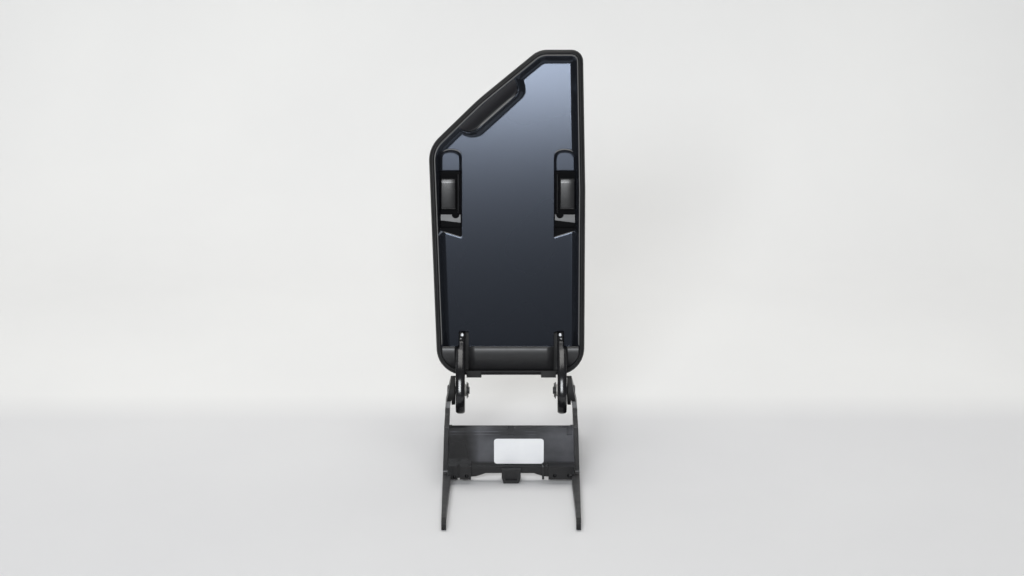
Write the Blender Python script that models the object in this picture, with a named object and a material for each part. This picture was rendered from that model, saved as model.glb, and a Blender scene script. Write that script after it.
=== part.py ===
"""Center console armrest lid, open on its hinge bracket.

World axes: X to the right, Y away from the viewer, Z up, metres.
The origin lies on the floor, in the middle of the centre foot's flat underside.
The lid is drawn in its own axes: x across, w up the lid from the hinge axis,
and n out of its underside. A depth t is measured from the panel rim into the lid.
"""

import math

import bmesh
import bpy
from mathutils import Vector

MM = 0.001
GAP = 0.3 * MM

# Hinge and pose
PIVOT_Y = 50.0 * MM
PIVOT_Z = 80.0 * MM
LID_LEAN = math.radians(15.0)
RIM_N = -12.0 * MM

# Lid outline: corner x, corner w, corner radius
OUTLINE = (
    (74.4 * MM, 351.6 * MM, 12.0 * MM),
    (77.0 * MM, 206.5 * MM, 220.0 * MM),
    (76.1 * MM, 14.1 * MM, 28.0 * MM),
    (-76.8 * MM, 14.1 * MM, 28.0 * MM),
    (-85.8 * MM, 250.6 * MM, 32.0 * MM),
    (-34.5 * MM, 300.2 * MM, 220.0 * MM),
    (28.5 * MM, 351.6 * MM, 24.0 * MM),
)
CORNER_STEPS = 6

# Lid layers, as depths t from the rim
LID_T = 35.6 * MM
LEATHER_T = 1.6 * MM
CARRIER_TOP_T = 20.0 * MM
CARRIER_WALL = 2.5 * MM
FLOOR_T = 6.4 * MM
PANEL_WALL = 2.6 * MM
LEATHER_EDGE_IN = 5.0 * MM
PANEL_EDGE_IN = LEATHER_EDGE_IN + 0.4 * MM
SKIRT_IN = 4.9 * MM
WELL_WALL = 2.0 * MM
SPLIT_W = 43.6 * MM

# Finger grip, along the diagonal edge
GRIP_SCOOP_T = 13.4 * MM
GRIP_CREST_T = 0.9 * MM

# Latch pockets
POCKET_X = {"left": -62.9 * MM, "right": 55.8 * MM}
POCKET_HALF = 11.9 * MM
POCKET_ROUND = 9.0 * MM
POCKET_T = 9.2 * MM
WINDOW_LOW_W = 168.0 * MM
WINDOW_LEN = 58.0 * MM
WINDOW_TOP_W = WINDOW_LOW_W + WINDOW_LEN
RAMP_LEN = 19.5 * MM
RAMP_HALF = POCKET_HALF - 3.4 * MM
POCKET_TOP_W = WINDOW_TOP_W + RAMP_LEN + 3.0 * MM
POCKET_LOW_OUTER_W = WINDOW_LOW_W - 3.5 * MM
POCKET_SLANT = 7.3 * MM
POCKET_LOW_INNER_W = POCKET_LOW_OUTER_W - POCKET_SLANT
WINDOW_OUT = POCKET_HALF - 1.3 * MM
WINDOW_IN = POCKET_HALF - 1.3 * MM
WINDOW_T = POCKET_T + 5.4 * MM
SLIDER_OUT = WINDOW_OUT - 2 * GAP
SLIDER_IN = WINDOW_IN - 5.4 * MM
LATCH_TRAVEL = 4.5 * MM
LUG_UP = 13.6 * MM
LUG_LOW_W = WINDOW_LOW_W + LUG_UP
LUG_W = 2.8 * MM
LUG_T = 8.6 * MM
SLIDER_LOW_W = LUG_LOW_W + LATCH_TRAVEL + 0.2 * MM
SLIDER_LEN = 32.0 * MM
SLIDER_TOP_W = SLIDER_LOW_W + SLIDER_LEN
SLIDER_FACE_T = 5.6 * MM
FRAME_BASE_T = WINDOW_T - 2.2 * MM
ROD_R = 0.65 * MM
ROD_X = (SLIDER_IN + WINDOW_IN) / 2
ROD_T = FRAME_BASE_T - 2.2 * MM
NOTCH_R = 4.0 * MM
EAR_UP = 22.7 * MM
EAR_LEN = 4.0 * MM
EAR_LOW_W = SLIDER_LOW_W + EAR_UP
EAR_TOP_W = EAR_LOW_W + EAR_LEN
EAR_HALF_T = 1.5 * MM
SPRING_R = ROD_R + 0.6 * MM
SPRING_WIRE_R = 0.3 * MM
SPRING_TURNS = 9

# Hinge arms
ARM_IN_X = 47.7 * MM
ARM_OUT_X = 57.4 * MM
ARM_TAB_OUT_X = 54.0 * MM
ARM_ROOT_W = 23.2 * MM
ARM_END_W = 58.8 * MM
ARM_TAB_N = -13.5 * MM
SLOT_CLEAR = 0.4 * MM
SLOT_IN_CLEAR = 3.5 * MM
ARM_SCREW_X = 50.8 * MM
ARM_SCREW_W = ARM_END_W - 2.4 * MM
ARM_SCREW_R = 0.95 * MM

# Pin, bush, washer and clip
PIN_R = 4.0 * MM
BUSH_WALL = 1.9 * MM
PIN_HEAD_R = 5.8 * MM
PIN_HEAD_T = 1.5 * MM
PIN_SEAT_X = 64.2 * MM
WASHER_R = 8.5 * MM
WASHER_T = 0.8 * MM
BUSH_OUT = 1.4 * MM
WASHER_X = ARM_IN_X - BUSH_OUT - GAP
CLIP_T = 0.8 * MM
CLIP_R = WASHER_R - 0.9 * MM
CLIP_X = WASHER_X - WASHER_T - GAP
GROOVE_R = PIN_R - 0.8 * MM

# Side rails
RAIL_OUT_X = 68.0 * MM
RAIL_T = 4.6 * MM
RAIL_H = 9.6 * MM
RAIL_FRONT_Y = -127.0 * MM
RAIL_BACK_Y = 130.0 * MM
TIP_LEN = 10.0 * MM
UPRIGHT_FRONT_Y = -3.0 * MM
UPRIGHT_BACK_Y = 72.0 * MM
UPRIGHT_Z = 61.0 * MM
LEAN_Z = 65.0 * MM
LEAN_TAN = 0.2
SPLAY = 2.2 * MM
FLANGE_OUT = 3.6 * MM
EAR_R = 15.0 * MM
BOSS_IN_X = ARM_OUT_X + 0.5 * MM

# Cross panel
PANEL_HALF = RAIL_OUT_X - RAIL_T - GAP
PANEL_TOP_Z = 59.5 * MM
PANEL_PLATE_T = 3.0 * MM
LEDGE_Z = 16.2 * MM
FLANGE_Z = 9.6 * MM
BOSS_LOW_Z = 5.2 * MM
BOSS_TOP_Z = 19.8 * MM
BOSS_OUT_Y = 10.0 * MM
BOSS_IN = {"left": 41.0 * MM, "right": 38.0 * MM}
FOOT_HALF_X = 9.7 * MM
FOOT_HALF_Y = 9.0 * MM
SCREW_Y = 13.5 * MM
SCREW_Z = (LEDGE_Z + 8 * MM, LEDGE_Z + 28 * MM)
SCREW_R = 2.1 * MM
SCREW_HEAD_R = 4.3 * MM
SCREW_HEAD_T = 2.0 * MM
SIDE_FLANGE_T = 2.8 * MM
SPLAY_FROM_X = PANEL_HALF - SIDE_FLANGE_T - GAP

# Label
LABEL_X0 = -17.5 * MM
LABEL_X1 = 33.1 * MM
LABEL_Z0 = 19.0 * MM
LABEL_Z1 = 46.2 * MM
LABEL_T = 0.3 * MM

MATERIALS = {
    "steel_black": ((0.012, 0.012, 0.013), 0.42, 0.0),
    "pin_steel": ((0.62, 0.62, 0.63), 0.28, 1.0),
    "zinc": ((0.55, 0.56, 0.58), 0.35, 1.0),
    "spring_steel": ((0.45, 0.45, 0.46), 0.35, 1.0),
    "panel_plastic": ((0.011, 0.012, 0.014), 0.24, 0.0),
    "matte_plastic": ((0.016, 0.016, 0.017), 0.5, 0.0),
    "arm_paint": ((0.012, 0.012, 0.013), 0.3, 0.0),
    "carrier_plastic": ((0.03, 0.03, 0.031), 0.6, 0.0),
    "leather": ((0.018, 0.018, 0.019), 0.55, 0.0),
    "foam": ((0.22, 0.21, 0.17), 0.95, 0.0),
    "rubber": ((0.015, 0.015, 0.015), 0.75, 0.0),
    "label_white": ((0.86, 0.87, 0.88), 0.45, 0.0),
    "bush_plastic": ((0.5, 0.49, 0.46), 0.45, 0.0),
}


def material(name):
    found = bpy.data.materials.get(name)
    if found:
        return found
    colour, roughness, metallic = MATERIALS[name]
    made = bpy.data.materials.new(name)
    made.use_nodes = True
    shader = made.node_tree.nodes["Principled BSDF"]
    shader.inputs["Base Color"].default_value = (*colour, 1.0)
    shader.inputs["Roughness"].default_value = roughness
    shader.inputs["Metallic"].default_value = metallic
    return made


def make_object(name, verts, faces, mat=None):
    mesh = bpy.data.meshes.new(name)
    mesh.from_pydata([tuple(v) for v in verts], [], faces)
    bm = bmesh.new()
    bm.from_mesh(mesh)
    bmesh.ops.recalc_face_normals(bm, faces=bm.faces)
    bm.to_mesh(mesh)
    bm.free()
    obj = bpy.data.objects.new(name, mesh)
    bpy.context.scene.collection.objects.link(obj)
    if mat:
        mesh.materials.append(material(mat))
    return obj


def loft(name, rings, mat=None, closed=False):
    """Skin rings of equal point count; the two ends are capped unless closed."""
    count = len(rings[0])
    verts = [point for ring in rings for point in ring]
    faces = []
    spans = len(rings) if closed else len(rings) - 1
    for r in range(spans):
        a = r * count
        b = ((r + 1) % len(rings)) * count
        for k in range(count):
            k2 = (k + 1) % count
            faces.append((a + k, a + k2, b + k2, b + k))
    if not closed:
        faces.append(tuple(reversed(range(count))))
        faces.append(tuple(range((len(rings) - 1) * count, len(rings) * count)))
    return make_object(name, verts, faces, mat)


def prism_x(name, points, x0, x1, mat=None):
    """Extrude a (second, third axis) polygon along X."""
    return loft(name, [[(x, a, b) for a, b in points] for x in (x0, x1)], mat)


def prism_y(name, points, y0, y1, mat=None):
    return loft(name, [[(a, y, b) for a, b in points] for y in (y0, y1)], mat)


def prism_n(name, points, t0, t1, mat=None):
    """Extrude an (x, w) polygon between two depths of the lid."""
    return loft(name, [[(a, b, RIM_N - t) for a, b in points] for t in (t0, t1)], mat)


def prism_wt(name, points, x0, x1, mat=None):
    """Extrude a (w, depth) polygon across the lid."""
    return prism_x(name, [(w, RIM_N - t) for w, t in points], x0, x1, mat)


def box(name, x, y, z, mat=None):
    return prism_x(name, [(y[0], z[0]), (y[1], z[0]), (y[1], z[1]), (y[0], z[1])], x[0], x[1], mat)


def arc(cx, cy, radius, start, end, steps):
    """Points on an arc, angles in degrees."""
    made = []
    for k in range(steps + 1):
        angle = math.radians(start + (end - start) * k / steps)
        made.append((cx + radius * math.cos(angle), cy + radius * math.sin(angle)))
    return made


def lathe_x(name, profile, a0, b0, mat=None, steps=32):
    """Turn an (x, radius) profile round a line along X through (a0, b0)."""
    rings = []
    for x, radius in profile:
        ring = []
        for k in range(steps):
            angle = 2 * math.pi * k / steps
            ring.append((x, a0 + radius * math.cos(angle), b0 + radius * math.sin(angle)))
        rings.append(ring)
    return loft(name, rings, mat)


def tube_x(name, inner, outer, x0, x1, a0, b0, mat=None, steps=32):
    """A ring with a bore, its axis along X."""
    rings = []
    for x, radius in ((x0, inner), (x0, outer), (x1, outer), (x1, inner)):
        ring = []
        for k in range(steps):
            angle = 2 * math.pi * k / steps
            ring.append((x, a0 + radius * math.cos(angle), b0 + radius * math.sin(angle)))
        rings.append(ring)
    return loft(name, rings, mat, closed=True)


def rod_y(name, radius, x, z, y0, y1, mat=None, steps=16):
    """A straight round rod along the second axis."""
    rings = []
    for y in (y0, y1):
        ring = []
        for k in range(steps):
            angle = 2 * math.pi * k / steps
            ring.append((x + radius * math.cos(angle), y, z + radius * math.sin(angle)))
        rings.append(ring)
    return loft(name, rings, mat)


def rod_z(name, stack, x, y, mat=None, steps=20):
    """A stepped round rod along the third axis; stack is (z, radius)."""
    rings = []
    for z, radius in stack:
        ring = []
        for k in range(steps):
            angle = 2 * math.pi * k / steps
            ring.append((x + radius * math.cos(angle), y + radius * math.sin(angle), z))
        rings.append(ring)
    return loft(name, rings, mat)


def combine(target, tool, operation):
    """Boolean the tool into the target and drop the tool."""
    modifier = target.modifiers.new("combine", "BOOLEAN")
    modifier.operation = operation
    modifier.solver = "EXACT"
    modifier.object = tool
    bpy.context.view_layer.update()
    graph = bpy.context.evaluated_depsgraph_get()
    result = bpy.data.meshes.new_from_object(target.evaluated_get(graph))
    target.modifiers.clear()
    old = target.data
    target.data = result
    bpy.data.meshes.remove(old)
    bpy.data.objects.remove(tool, do_unlink=True)
    return target


def cut(target, tool):
    return combine(target, tool, "DIFFERENCE")


def join(target, tool):
    return combine(target, tool, "UNION")


def outline_ring(inset, depth):
    """The lid's outline moved inwards, with the same point count at every inset."""
    count = len(OUTLINE)
    corners = [Vector((x, w)) for x, w, _ in OUTLINE]
    lines = []
    for k in range(count):
        a = corners[k]
        b = corners[(k + 1) % count]
        along = (b - a).normalized()
        inward = Vector((along.y, -along.x))
        lines.append((a + inward * inset, along))
    ring = []
    for k in range(count):
        p, d = lines[k - 1]
        q, e = lines[k]
        cross = d.x * e.y - d.y * e.x
        s = ((q.x - p.x) * e.y - (q.y - p.y) * e.x) / cross
        corner = p + d * s
        turn = math.acos(max(-1.0, min(1.0, d.dot(e))))
        radius = max(OUTLINE[k][2] - inset, 1.5 * MM)
        reach = radius * math.tan(turn / 2)
        start = corner - d * reach
        centre = start + Vector((d.y, -d.x)) * radius
        first = start - centre
        for j in range(CORNER_STEPS + 1):
            angle = -turn * j / CORNER_STEPS
            c = math.cos(angle)
            sn = math.sin(angle)
            x = centre.x + first.x * c - first.y * sn
            w = centre.y + first.x * sn + first.y * c
            ring.append((x, w, RIM_N - depth))
    return ring


def shell(name, profile, mat=None):
    """Loft outline rings through (inset mm, depth mm) pairs."""
    return loft(name, [outline_ring(i * MM, t * MM) for i, t in profile], mat)


def lid_axis_empty():
    empty = bpy.data.objects.new("lid_hinge_axis", None)
    empty.location = (0.0, PIVOT_Y, PIVOT_Z)
    empty.rotation_euler = (math.pi / 2 - LID_LEAN, 0.0, 0.0)
    bpy.context.scene.collection.objects.link(empty)
    return empty


def make_leather_cover():
    top = LID_T / MM
    thick = LEATHER_T / MM
    edge = LEATHER_EDGE_IN / MM
    profile = [
        (24.0, top), (14.0, top - 0.6), (7.6, top - 2.6), (3.2, top - 6.6), (0.9, top - 12.0),
        (0.0, top - 18.0), (0.0, 10.0), (0.3, 5.5), (1.1, 2.4), (2.8, 0.7), (edge, 0.4),
        (edge, 0.4 + thick), (3.4, 2.3), (2.5, 3.7), (1.9, 6.0), (1.6, 10.0),
        (1.6, top - 18.0), (2.4, top - 12.6), (4.5, top - 7.9), (8.4, top - 4.1),
        (14.4, top - 2.2), (24.0, top - thick),
    ]
    return shell("leather_cover", profile, "leather")


def make_foam_pad():
    top = LID_T / MM - LEATHER_T / MM - GAP / MM
    low = CARRIER_TOP_T / MM + GAP / MM
    profile = [
        (24.0, top), (14.5, top - 0.65), (8.7, top - 2.5), (4.9, top - 6.2), (2.8, top - 11.0),
        (2.0, low),
    ]
    return shell("foam_pad", profile, "foam")


def make_lid_carrier():
    top = CARRIER_TOP_T / MM
    under = top - CARRIER_WALL / MM
    skirt = SKIRT_IN / MM
    profile = [
        (2.0, top), (2.0, 10.0), (2.3, 6.2), (2.9, 4.1), (3.7, 2.9), (4.6, 2.6), (skirt, 4.0),
        (skirt, under),
    ]
    return shell("lid_carrier", profile, "carrier_plastic")


def pocket_outline(side, grow):
    """The latch pocket's outline in (x, w), rounded at its top."""
    s = 1.0 if side == "left" else -1.0
    xc = POCKET_X[side]
    half = POCKET_HALF + grow
    top = POCKET_TOP_W + grow
    radius = POCKET_ROUND + grow
    points = [
        (xc - s * half, POCKET_LOW_OUTER_W - grow),
        (xc + s * half, POCKET_LOW_INNER_W - grow),
    ]
    right = arc(xc + half - radius, top - radius, radius, 0, 90, 6)
    left = arc(xc - half + radius, top - radius, radius, 90, 180, 6)
    round_top = right + left
    if s < 0:
        round_top = list(reversed(round_top))
    return points + round_top


def window_span(side, shrink):
    """The deep window's x limits, outer wall first."""
    s = 1.0 if side == "left" else -1.0
    xc = POCKET_X[side]
    return sorted((xc - s * (WINDOW_OUT - shrink), xc + s * (WINDOW_IN - shrink)))


def grip_ridge():
    """The raised ridge between the finger scoop and the panel floor."""
    low = [(-54.0, 269.4), (-51.0, 265.8), (-47.6, 263.3), (-42.5, 261.9), (-36.2, 261.7),
           (-31.6, 263.3), (-10.6, 282.6), (10.8, 302.2), (13.4, 307.0), (13.0, 313.5),
           (8.0, 322.0), (-2.0, 317.5), (-28.0, 295.5)]
    high = [(-53.5, 270.6), (-50.6, 268.0), (-46.6, 266.3), (-41.5, 266.5), (-36.4, 268.6),
            (-33.8, 270.4), (-13.6, 288.3), (5.8, 305.2), (7.5, 309.0), (6.4, 315.0),
            (2.8, 320.4), (-3.0, 318.0), (-29.0, 296.0)]
    rings = []
    for points, depth in ((low, FLOOR_T + 1.2 * MM), (low, FLOOR_T - 0.2 * MM), (high, GRIP_CREST_T)):
        rings.append([(x * MM, w * MM, RIM_N - depth) for x, w in points])
    return loft("grip_ridge", rings)


def grown(points, amount):
    """Move a counter-clockwise polygon's sides outwards by an amount."""
    made = []
    count = len(points)
    for k in range(count):
        before = Vector(points[k]) - Vector(points[k - 1])
        after = Vector(points[(k + 1) % count]) - Vector(points[k])
        n1 = Vector((before.y, -before.x)).normalized()
        n2 = Vector((after.y, -after.x)).normalized()
        out = n1 + n2
        out *= amount / max(0.4, 1.0 + n1.dot(n2))
        made.append((points[k][0] + out.x, points[k][1] + out.y))
    return made


def grip_scoop(grow, deep):
    """The finger scoop, wide at the rim and narrower at its floor."""
    wide = [(-51.8, 271.6), (-49.8, 269.2), (-46.4, 267.8), (-42.0, 268.0), (-37.4, 269.9),
            (-35.2, 271.5), (-14.9, 289.6), (4.5, 306.3), (6.0, 309.5), (5.0, 314.3),
            (0.8, 318.4), (-14.9, 305.8), (-29.2, 294.2)]
    narrow = [(-47.8, 273.2), (-46.8, 271.8), (-44.6, 271.2), (-42.0, 271.6), (-38.8, 273.0),
              (-37.2, 274.2), (-17.9, 291.6), (-1.2, 306.2), (-0.4, 308.0), (-1.2, 310.6),
              (-3.2, 311.8), (-16.6, 301.4), (-30.0, 289.9)]
    rings = []
    for points, depth in ((wide, -2.0 * MM), (wide, 2.4 * MM), (narrow, deep)):
        moved = grown([(x * MM, w * MM) for x, w in points], grow)
        rings.append([(x, w, RIM_N - depth) for x, w in moved])
    return loft("grip_scoop", rings)


def make_inner_panel():
    floor = FLOOR_T / MM
    back = floor + PANEL_WALL / MM
    edge = PANEL_EDGE_IN / MM
    profile = [
        (14.2, floor), (12.6, floor - 0.5), (7.2, 0.5), (6.6, 0.05), (6.0, 0.05), (edge, 0.6),
        (edge, 3.4), (6.0, 3.7), (11.4, back - 0.4), (13.2, back),
    ]
    panel = shell("inner_panel", profile, "panel_plastic")
    below = 0.15
    wells = [grip_scoop(WELL_WALL, GRIP_SCOOP_T + WELL_WALL)]
    for side in ("left", "right"):
        wells.append(prism_n("well", pocket_outline(side, WELL_WALL), -2 * MM,
                             WINDOW_T + WELL_WALL))
    for well in wells:
        air = shell("air", [(14.2, floor + below), (12.6, floor - 0.5 + below),
                            (7.2, 0.5 + below), (6.4, below), (6.4, -12.0)])
        join(panel, cut(well, air))
    join(panel, grip_ridge())
    cut(panel, grip_scoop(0.0, GRIP_SCOOP_T))
    for side in ("left", "right"):
        cut(panel, prism_n("pocket", pocket_outline(side, 0.0), -5 * MM, POCKET_T))
        x0, x1 = window_span(side, 0.0)
        cut(panel, prism_n("window", [(x0, WINDOW_LOW_W), (x1, WINDOW_LOW_W), (x1, WINDOW_TOP_W),
                                      (x0, WINDOW_TOP_W)], 0.0, WINDOW_T))
        xc = POCKET_X[side]
        ramp = [(WINDOW_TOP_W - 1 * MM, 5 * MM), (WINDOW_TOP_W + RAMP_LEN, 5 * MM),
                (WINDOW_TOP_W + RAMP_LEN, POCKET_T), (WINDOW_TOP_W - 1 * MM, POCKET_T + 0.5 * MM)]
        cut(panel, prism_wt("ramp", ramp, xc - RAMP_HALF, xc + RAMP_HALF))
    for s in (-1.0, 1.0):
        x0, x1 = sorted((s * (ARM_IN_X - SLOT_IN_CLEAR), s * (ARM_TAB_OUT_X + SLOT_CLEAR)))
        cut(panel, prism_n("slot", [(x0, 20 * MM), (x1, 20 * MM), (x1, ARM_END_W + SLOT_CLEAR),
                                    (x0, ARM_END_W + SLOT_CLEAR)], -5 * MM, 20 * MM))
    keep = prism_n("keep", [(-150 * MM, SPLIT_W + GAP), (150 * MM, SPLIT_W + GAP),
                            (150 * MM, 400 * MM), (-150 * MM, 400 * MM)], -10 * MM, 30 * MM)
    return combine(panel, keep, "INTERSECT")


def make_rear_closeout():
    profile = [(0.0, 9.0), (0.0, 1.6), (1.0, 0.6), (5.6, 0.2), (10.6, 0.3), (16.6, 1.5),
               (22.1, 4.0), (25.4, 7.0), (25.4, 9.0), (23.0, 9.0), (21.1, 6.8), (16.0, 4.3),
               (10.6, 3.0), (5.6, 2.8), (2.7, 3.2), (2.7, 9.0)]
    closeout = prism_wt("rear_closeout", [(SPLIT_W - down * MM, t * MM) for down, t in profile],
                        -100 * MM, 100 * MM, "matte_plastic")
    edge = PANEL_EDGE_IN / MM
    bound = shell("bound", [(edge, -3.0), (edge, 12.0)])
    combine(closeout, bound, "INTERSECT")
    for s in (-1.0, 1.0):
        x0, x1 = sorted((s * (ARM_IN_X - SLOT_IN_CLEAR), s * (ARM_OUT_X + SLOT_CLEAR)))
        low = ARM_ROOT_W - SLOT_CLEAR
        cut(closeout, prism_n("slot", [(x0, low), (x1, low), (x1, 50 * MM), (x0, 50 * MM)],
                              -5 * MM, 20 * MM))
    return closeout


def make_hinge_arm(side):
    s = -1.0 if side == "left" else 1.0
    root_n = RIM_N - (CARRIER_TOP_T - CARRIER_WALL - GAP)
    points = [(ARM_ROOT_W, root_n), (ARM_END_W, root_n), (ARM_END_W, ARM_TAB_N)]
    curve = [(52.0, -13.4), (48.5, -11.2), (45.0, -6.4), (41.0, -1.6), (35.5, 3.4), (28.0, 9.4),
             (21.0, 14.2), (14.0, 17.4), (6.0, 18.8), (-2.0, 19.8), (-9.0, 19.0), (-15.8, 16.0),
             (-21.2, 10.4), (-24.0, 3.5), (-24.0, -4.0), (-21.0, -10.8), (-15.4, -15.8), (-7.9, -18.2),
             (-0.5, -17.4), (5.2, -14.0), (9.2, -9.6), (12.4, -6.8), (16.4, -5.8), (20.0, -7.2),
             (22.4, -10.0)]
    points += [(w * MM, n * MM) for w, n in curve]
    points.append((ARM_ROOT_W, -13.0 * MM))
    arm = prism_x("hinge_arm_" + side, points, *sorted((s * ARM_IN_X, s * ARM_OUT_X)), "arm_paint")
    step = sorted((s * ARM_TAB_OUT_X, s * 70 * MM))
    cut(arm, box("step", step, (SPLIT_W - GAP, 70 * MM), (-40 * MM, 30 * MM)))
    cut(arm, lathe_x("eye", [(s * 40 * MM, PIN_R + BUSH_WALL + 2 * GAP),
                             (s * 65 * MM, PIN_R + BUSH_WALL + 2 * GAP)], 0.0, 0.0, steps=36))
    bore_r = ARM_SCREW_R + GAP
    return cut(arm, rod_z("bore", [(ARM_TAB_N - 12 * MM, bore_r), (10 * MM, bore_r)],
                          s * ARM_SCREW_X, ARM_SCREW_W))


def make_arm_screw(side):
    s = -1.0 if side == "left" else 1.0
    top = ARM_TAB_N + GAP
    stack = [(ARM_TAB_N - 11 * MM, ARM_SCREW_R), (top, ARM_SCREW_R), (top, 2 * ARM_SCREW_R),
             (top + 1.0 * MM, 2 * ARM_SCREW_R), (top + 1.7 * MM, 1.3 * ARM_SCREW_R)]
    return rod_z("arm_screw_" + side, stack, s * ARM_SCREW_X, ARM_SCREW_W, "zinc")


def make_panel_clips():
    made = []
    spots = ((-42, 88), (38, 88), (-36, 190), (30, 190), (46, 300), (-10, 262))
    low = RIM_N - (CARRIER_TOP_T - CARRIER_WALL - GAP)
    high = RIM_N - (FLOOR_T + PANEL_WALL + GAP)
    for k, (x, w) in enumerate(spots):
        stack = [(low, 3.0 * MM), (low + 1.2 * MM, 4.2 * MM), (high - 2 * MM, 4.2 * MM),
                 (high, 6.0 * MM)]
        made.append(rod_z("panel_clip_%d" % (k + 1), stack, x * MM, w * MM, "matte_plastic"))
    return made


def make_rear_edge_clip(side):
    s = -1.0 if side == "left" else 1.0
    outer = OUTLINE[2][1] - GAP
    wall = 1.6 * MM
    top = RIM_N - 0.4 * MM + GAP
    points = [(outer - wall, -26 * MM), (outer, -26 * MM), (outer, top),
              (19.0 * MM, top), (19.0 * MM, top + wall), (outer - wall, top + wall)]
    x0, x1 = sorted((s * 31.0 * MM, s * 46.4 * MM))
    return prism_x("rear_edge_clip_" + side, points, x0, x1, "matte_plastic")


def make_latch_frame(side):
    s = 1.0 if side == "left" else -1.0
    xc = POCKET_X[side]
    x0, x1 = window_span(side, GAP)
    low = WINDOW_LOW_W + GAP
    top = WINDOW_TOP_W - GAP
    base = FRAME_BASE_T
    points = [(low, WINDOW_T - GAP), (top, WINDOW_T - GAP), (top, base), (LUG_LOW_W, base)]
    for down, rise in ((0.6, 1.9), (3.5, 2.25), (6.5, 2.52), (9.0, 2.64), (11.0, 2.67)):
        points.append((LUG_LOW_W - down * MM, base - rise * MM))
    points.append((low, base - 2.68 * MM))
    frame = prism_wt("latch_frame_" + side, points, x0, x1, "matte_plastic")
    lug_x = sorted((xc + s * (SLIDER_IN + 0.4 * MM), xc + s * (WINDOW_IN - GAP)))
    for w0, w1 in ((LUG_LOW_W, LUG_LOW_W + LUG_W), (top - LUG_W, top)):
        lug = [(w0, WINDOW_T - GAP), (w1, WINDOW_T - GAP), (w1, LUG_T), (w0, LUG_T)]
        join(frame, prism_wt("lug", lug, *lug_x))
    cut(frame, rod_y("bore", ROD_R + GAP, xc + s * ROD_X, RIM_N - ROD_T,
                     LUG_LOW_W + 0.8 * MM, top - 0.8 * MM))
    notch = rod_z("notch", [(RIM_N - base + 0.2 * MM, NOTCH_R), (RIM_N, NOTCH_R)],
                  xc + s * SLIDER_IN, LUG_LOW_W - 0.6 * MM, steps=24)
    return cut(frame, notch)


def make_latch_rod(side):
    s = 1.0 if side == "left" else -1.0
    top = WINDOW_TOP_W - GAP
    return rod_y("latch_rod_" + side, ROD_R, POCKET_X[side] + s * ROD_X, RIM_N - ROD_T,
                 LUG_LOW_W + 0.8 * MM + GAP, top - 0.8 * MM - GAP, "pin_steel")


def make_latch_slider(side):
    s = 1.0 if side == "left" else -1.0
    xc = POCKET_X[side]
    face = SLIDER_FACE_T
    back = FRAME_BASE_T - GAP
    points = [(SLIDER_LOW_W, back), (SLIDER_LOW_W, face + 1.2 * MM),
              (SLIDER_LOW_W + 1.2 * MM, face), (SLIDER_TOP_W - 5.7 * MM, face)]
    w = SLIDER_TOP_W / MM - 5.7
    depth = face / MM
    for _ in range(3):
        w += 1.3
        depth += 0.5
        points.append((w * MM, (depth - 0.3) * MM))
        points.append((w * MM, depth * MM))
    points += [(SLIDER_TOP_W, face + 2.4 * MM), (SLIDER_TOP_W, back)]
    x = sorted((xc - s * SLIDER_OUT, xc + s * SLIDER_IN))
    slider = prism_wt("latch_slider_" + side, points, *x, "matte_plastic")
    ear = [(EAR_LOW_W, ROD_T - EAR_HALF_T), (EAR_TOP_W, ROD_T - EAR_HALF_T),
           (EAR_TOP_W, ROD_T + EAR_HALF_T), (EAR_LOW_W, ROD_T + EAR_HALF_T)]
    ear_x = sorted((xc + s * (SLIDER_IN - 1 * MM), xc + s * (WINDOW_IN - GAP)))
    join(slider, prism_wt("ear", ear, *ear_x))
    cut(slider, rod_y("bore", ROD_R + GAP, xc + s * ROD_X, RIM_N - ROD_T, EAR_LOW_W - 2 * MM,
                      EAR_TOP_W + 2 * MM))
    return slider


def make_latch_spring(side):
    s = 1.0 if side == "left" else -1.0
    x0 = POCKET_X[side] + s * ROD_X
    z0 = RIM_N - ROD_T
    start = LUG_LOW_W + LUG_W + GAP + SPRING_WIRE_R
    end = EAR_LOW_W - GAP - SPRING_WIRE_R
    steps = SPRING_TURNS * 11
    rings = []
    for k in range(steps + 1):
        f = k / steps
        angle = 2 * math.pi * SPRING_TURNS * f
        centre = Vector((x0 + SPRING_R * math.cos(angle), start + (end - start) * f,
                         z0 + SPRING_R * math.sin(angle)))
        radial = Vector((math.cos(angle), 0.0, math.sin(angle)))
        along = Vector((0.0, 1.0, 0.0))
        ring = []
        for j in range(5):
            turn = 2 * math.pi * j / 5
            ring.append(centre + SPRING_WIRE_R * (radial * math.cos(turn) + along * math.sin(turn)))
        rings.append(ring)
    return loft("latch_spring_" + side, rings, "spring_steel")


def splay_at(y, z):
    """How far the rails stand out at a height, less towards their front tips."""
    if z >= UPRIGHT_Z:
        return 0.0
    return SPLAY * (1.0 - z / UPRIGHT_Z) * min(1.0, 1.0 - y / RAIL_FRONT_Y)


def splay(obj, from_x):
    """Lean what lies beyond from_x outwards towards the floor."""
    bm = bmesh.new()
    bm.from_mesh(obj.data)
    bmesh.ops.triangulate(bm, faces=bm.faces)
    for v in bm.verts:
        if abs(v.co.x) > from_x:
            v.co.x += math.copysign(splay_at(v.co.y, v.co.z), v.co.x)
    bm.to_mesh(obj.data)
    bm.free()
    return obj


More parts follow.
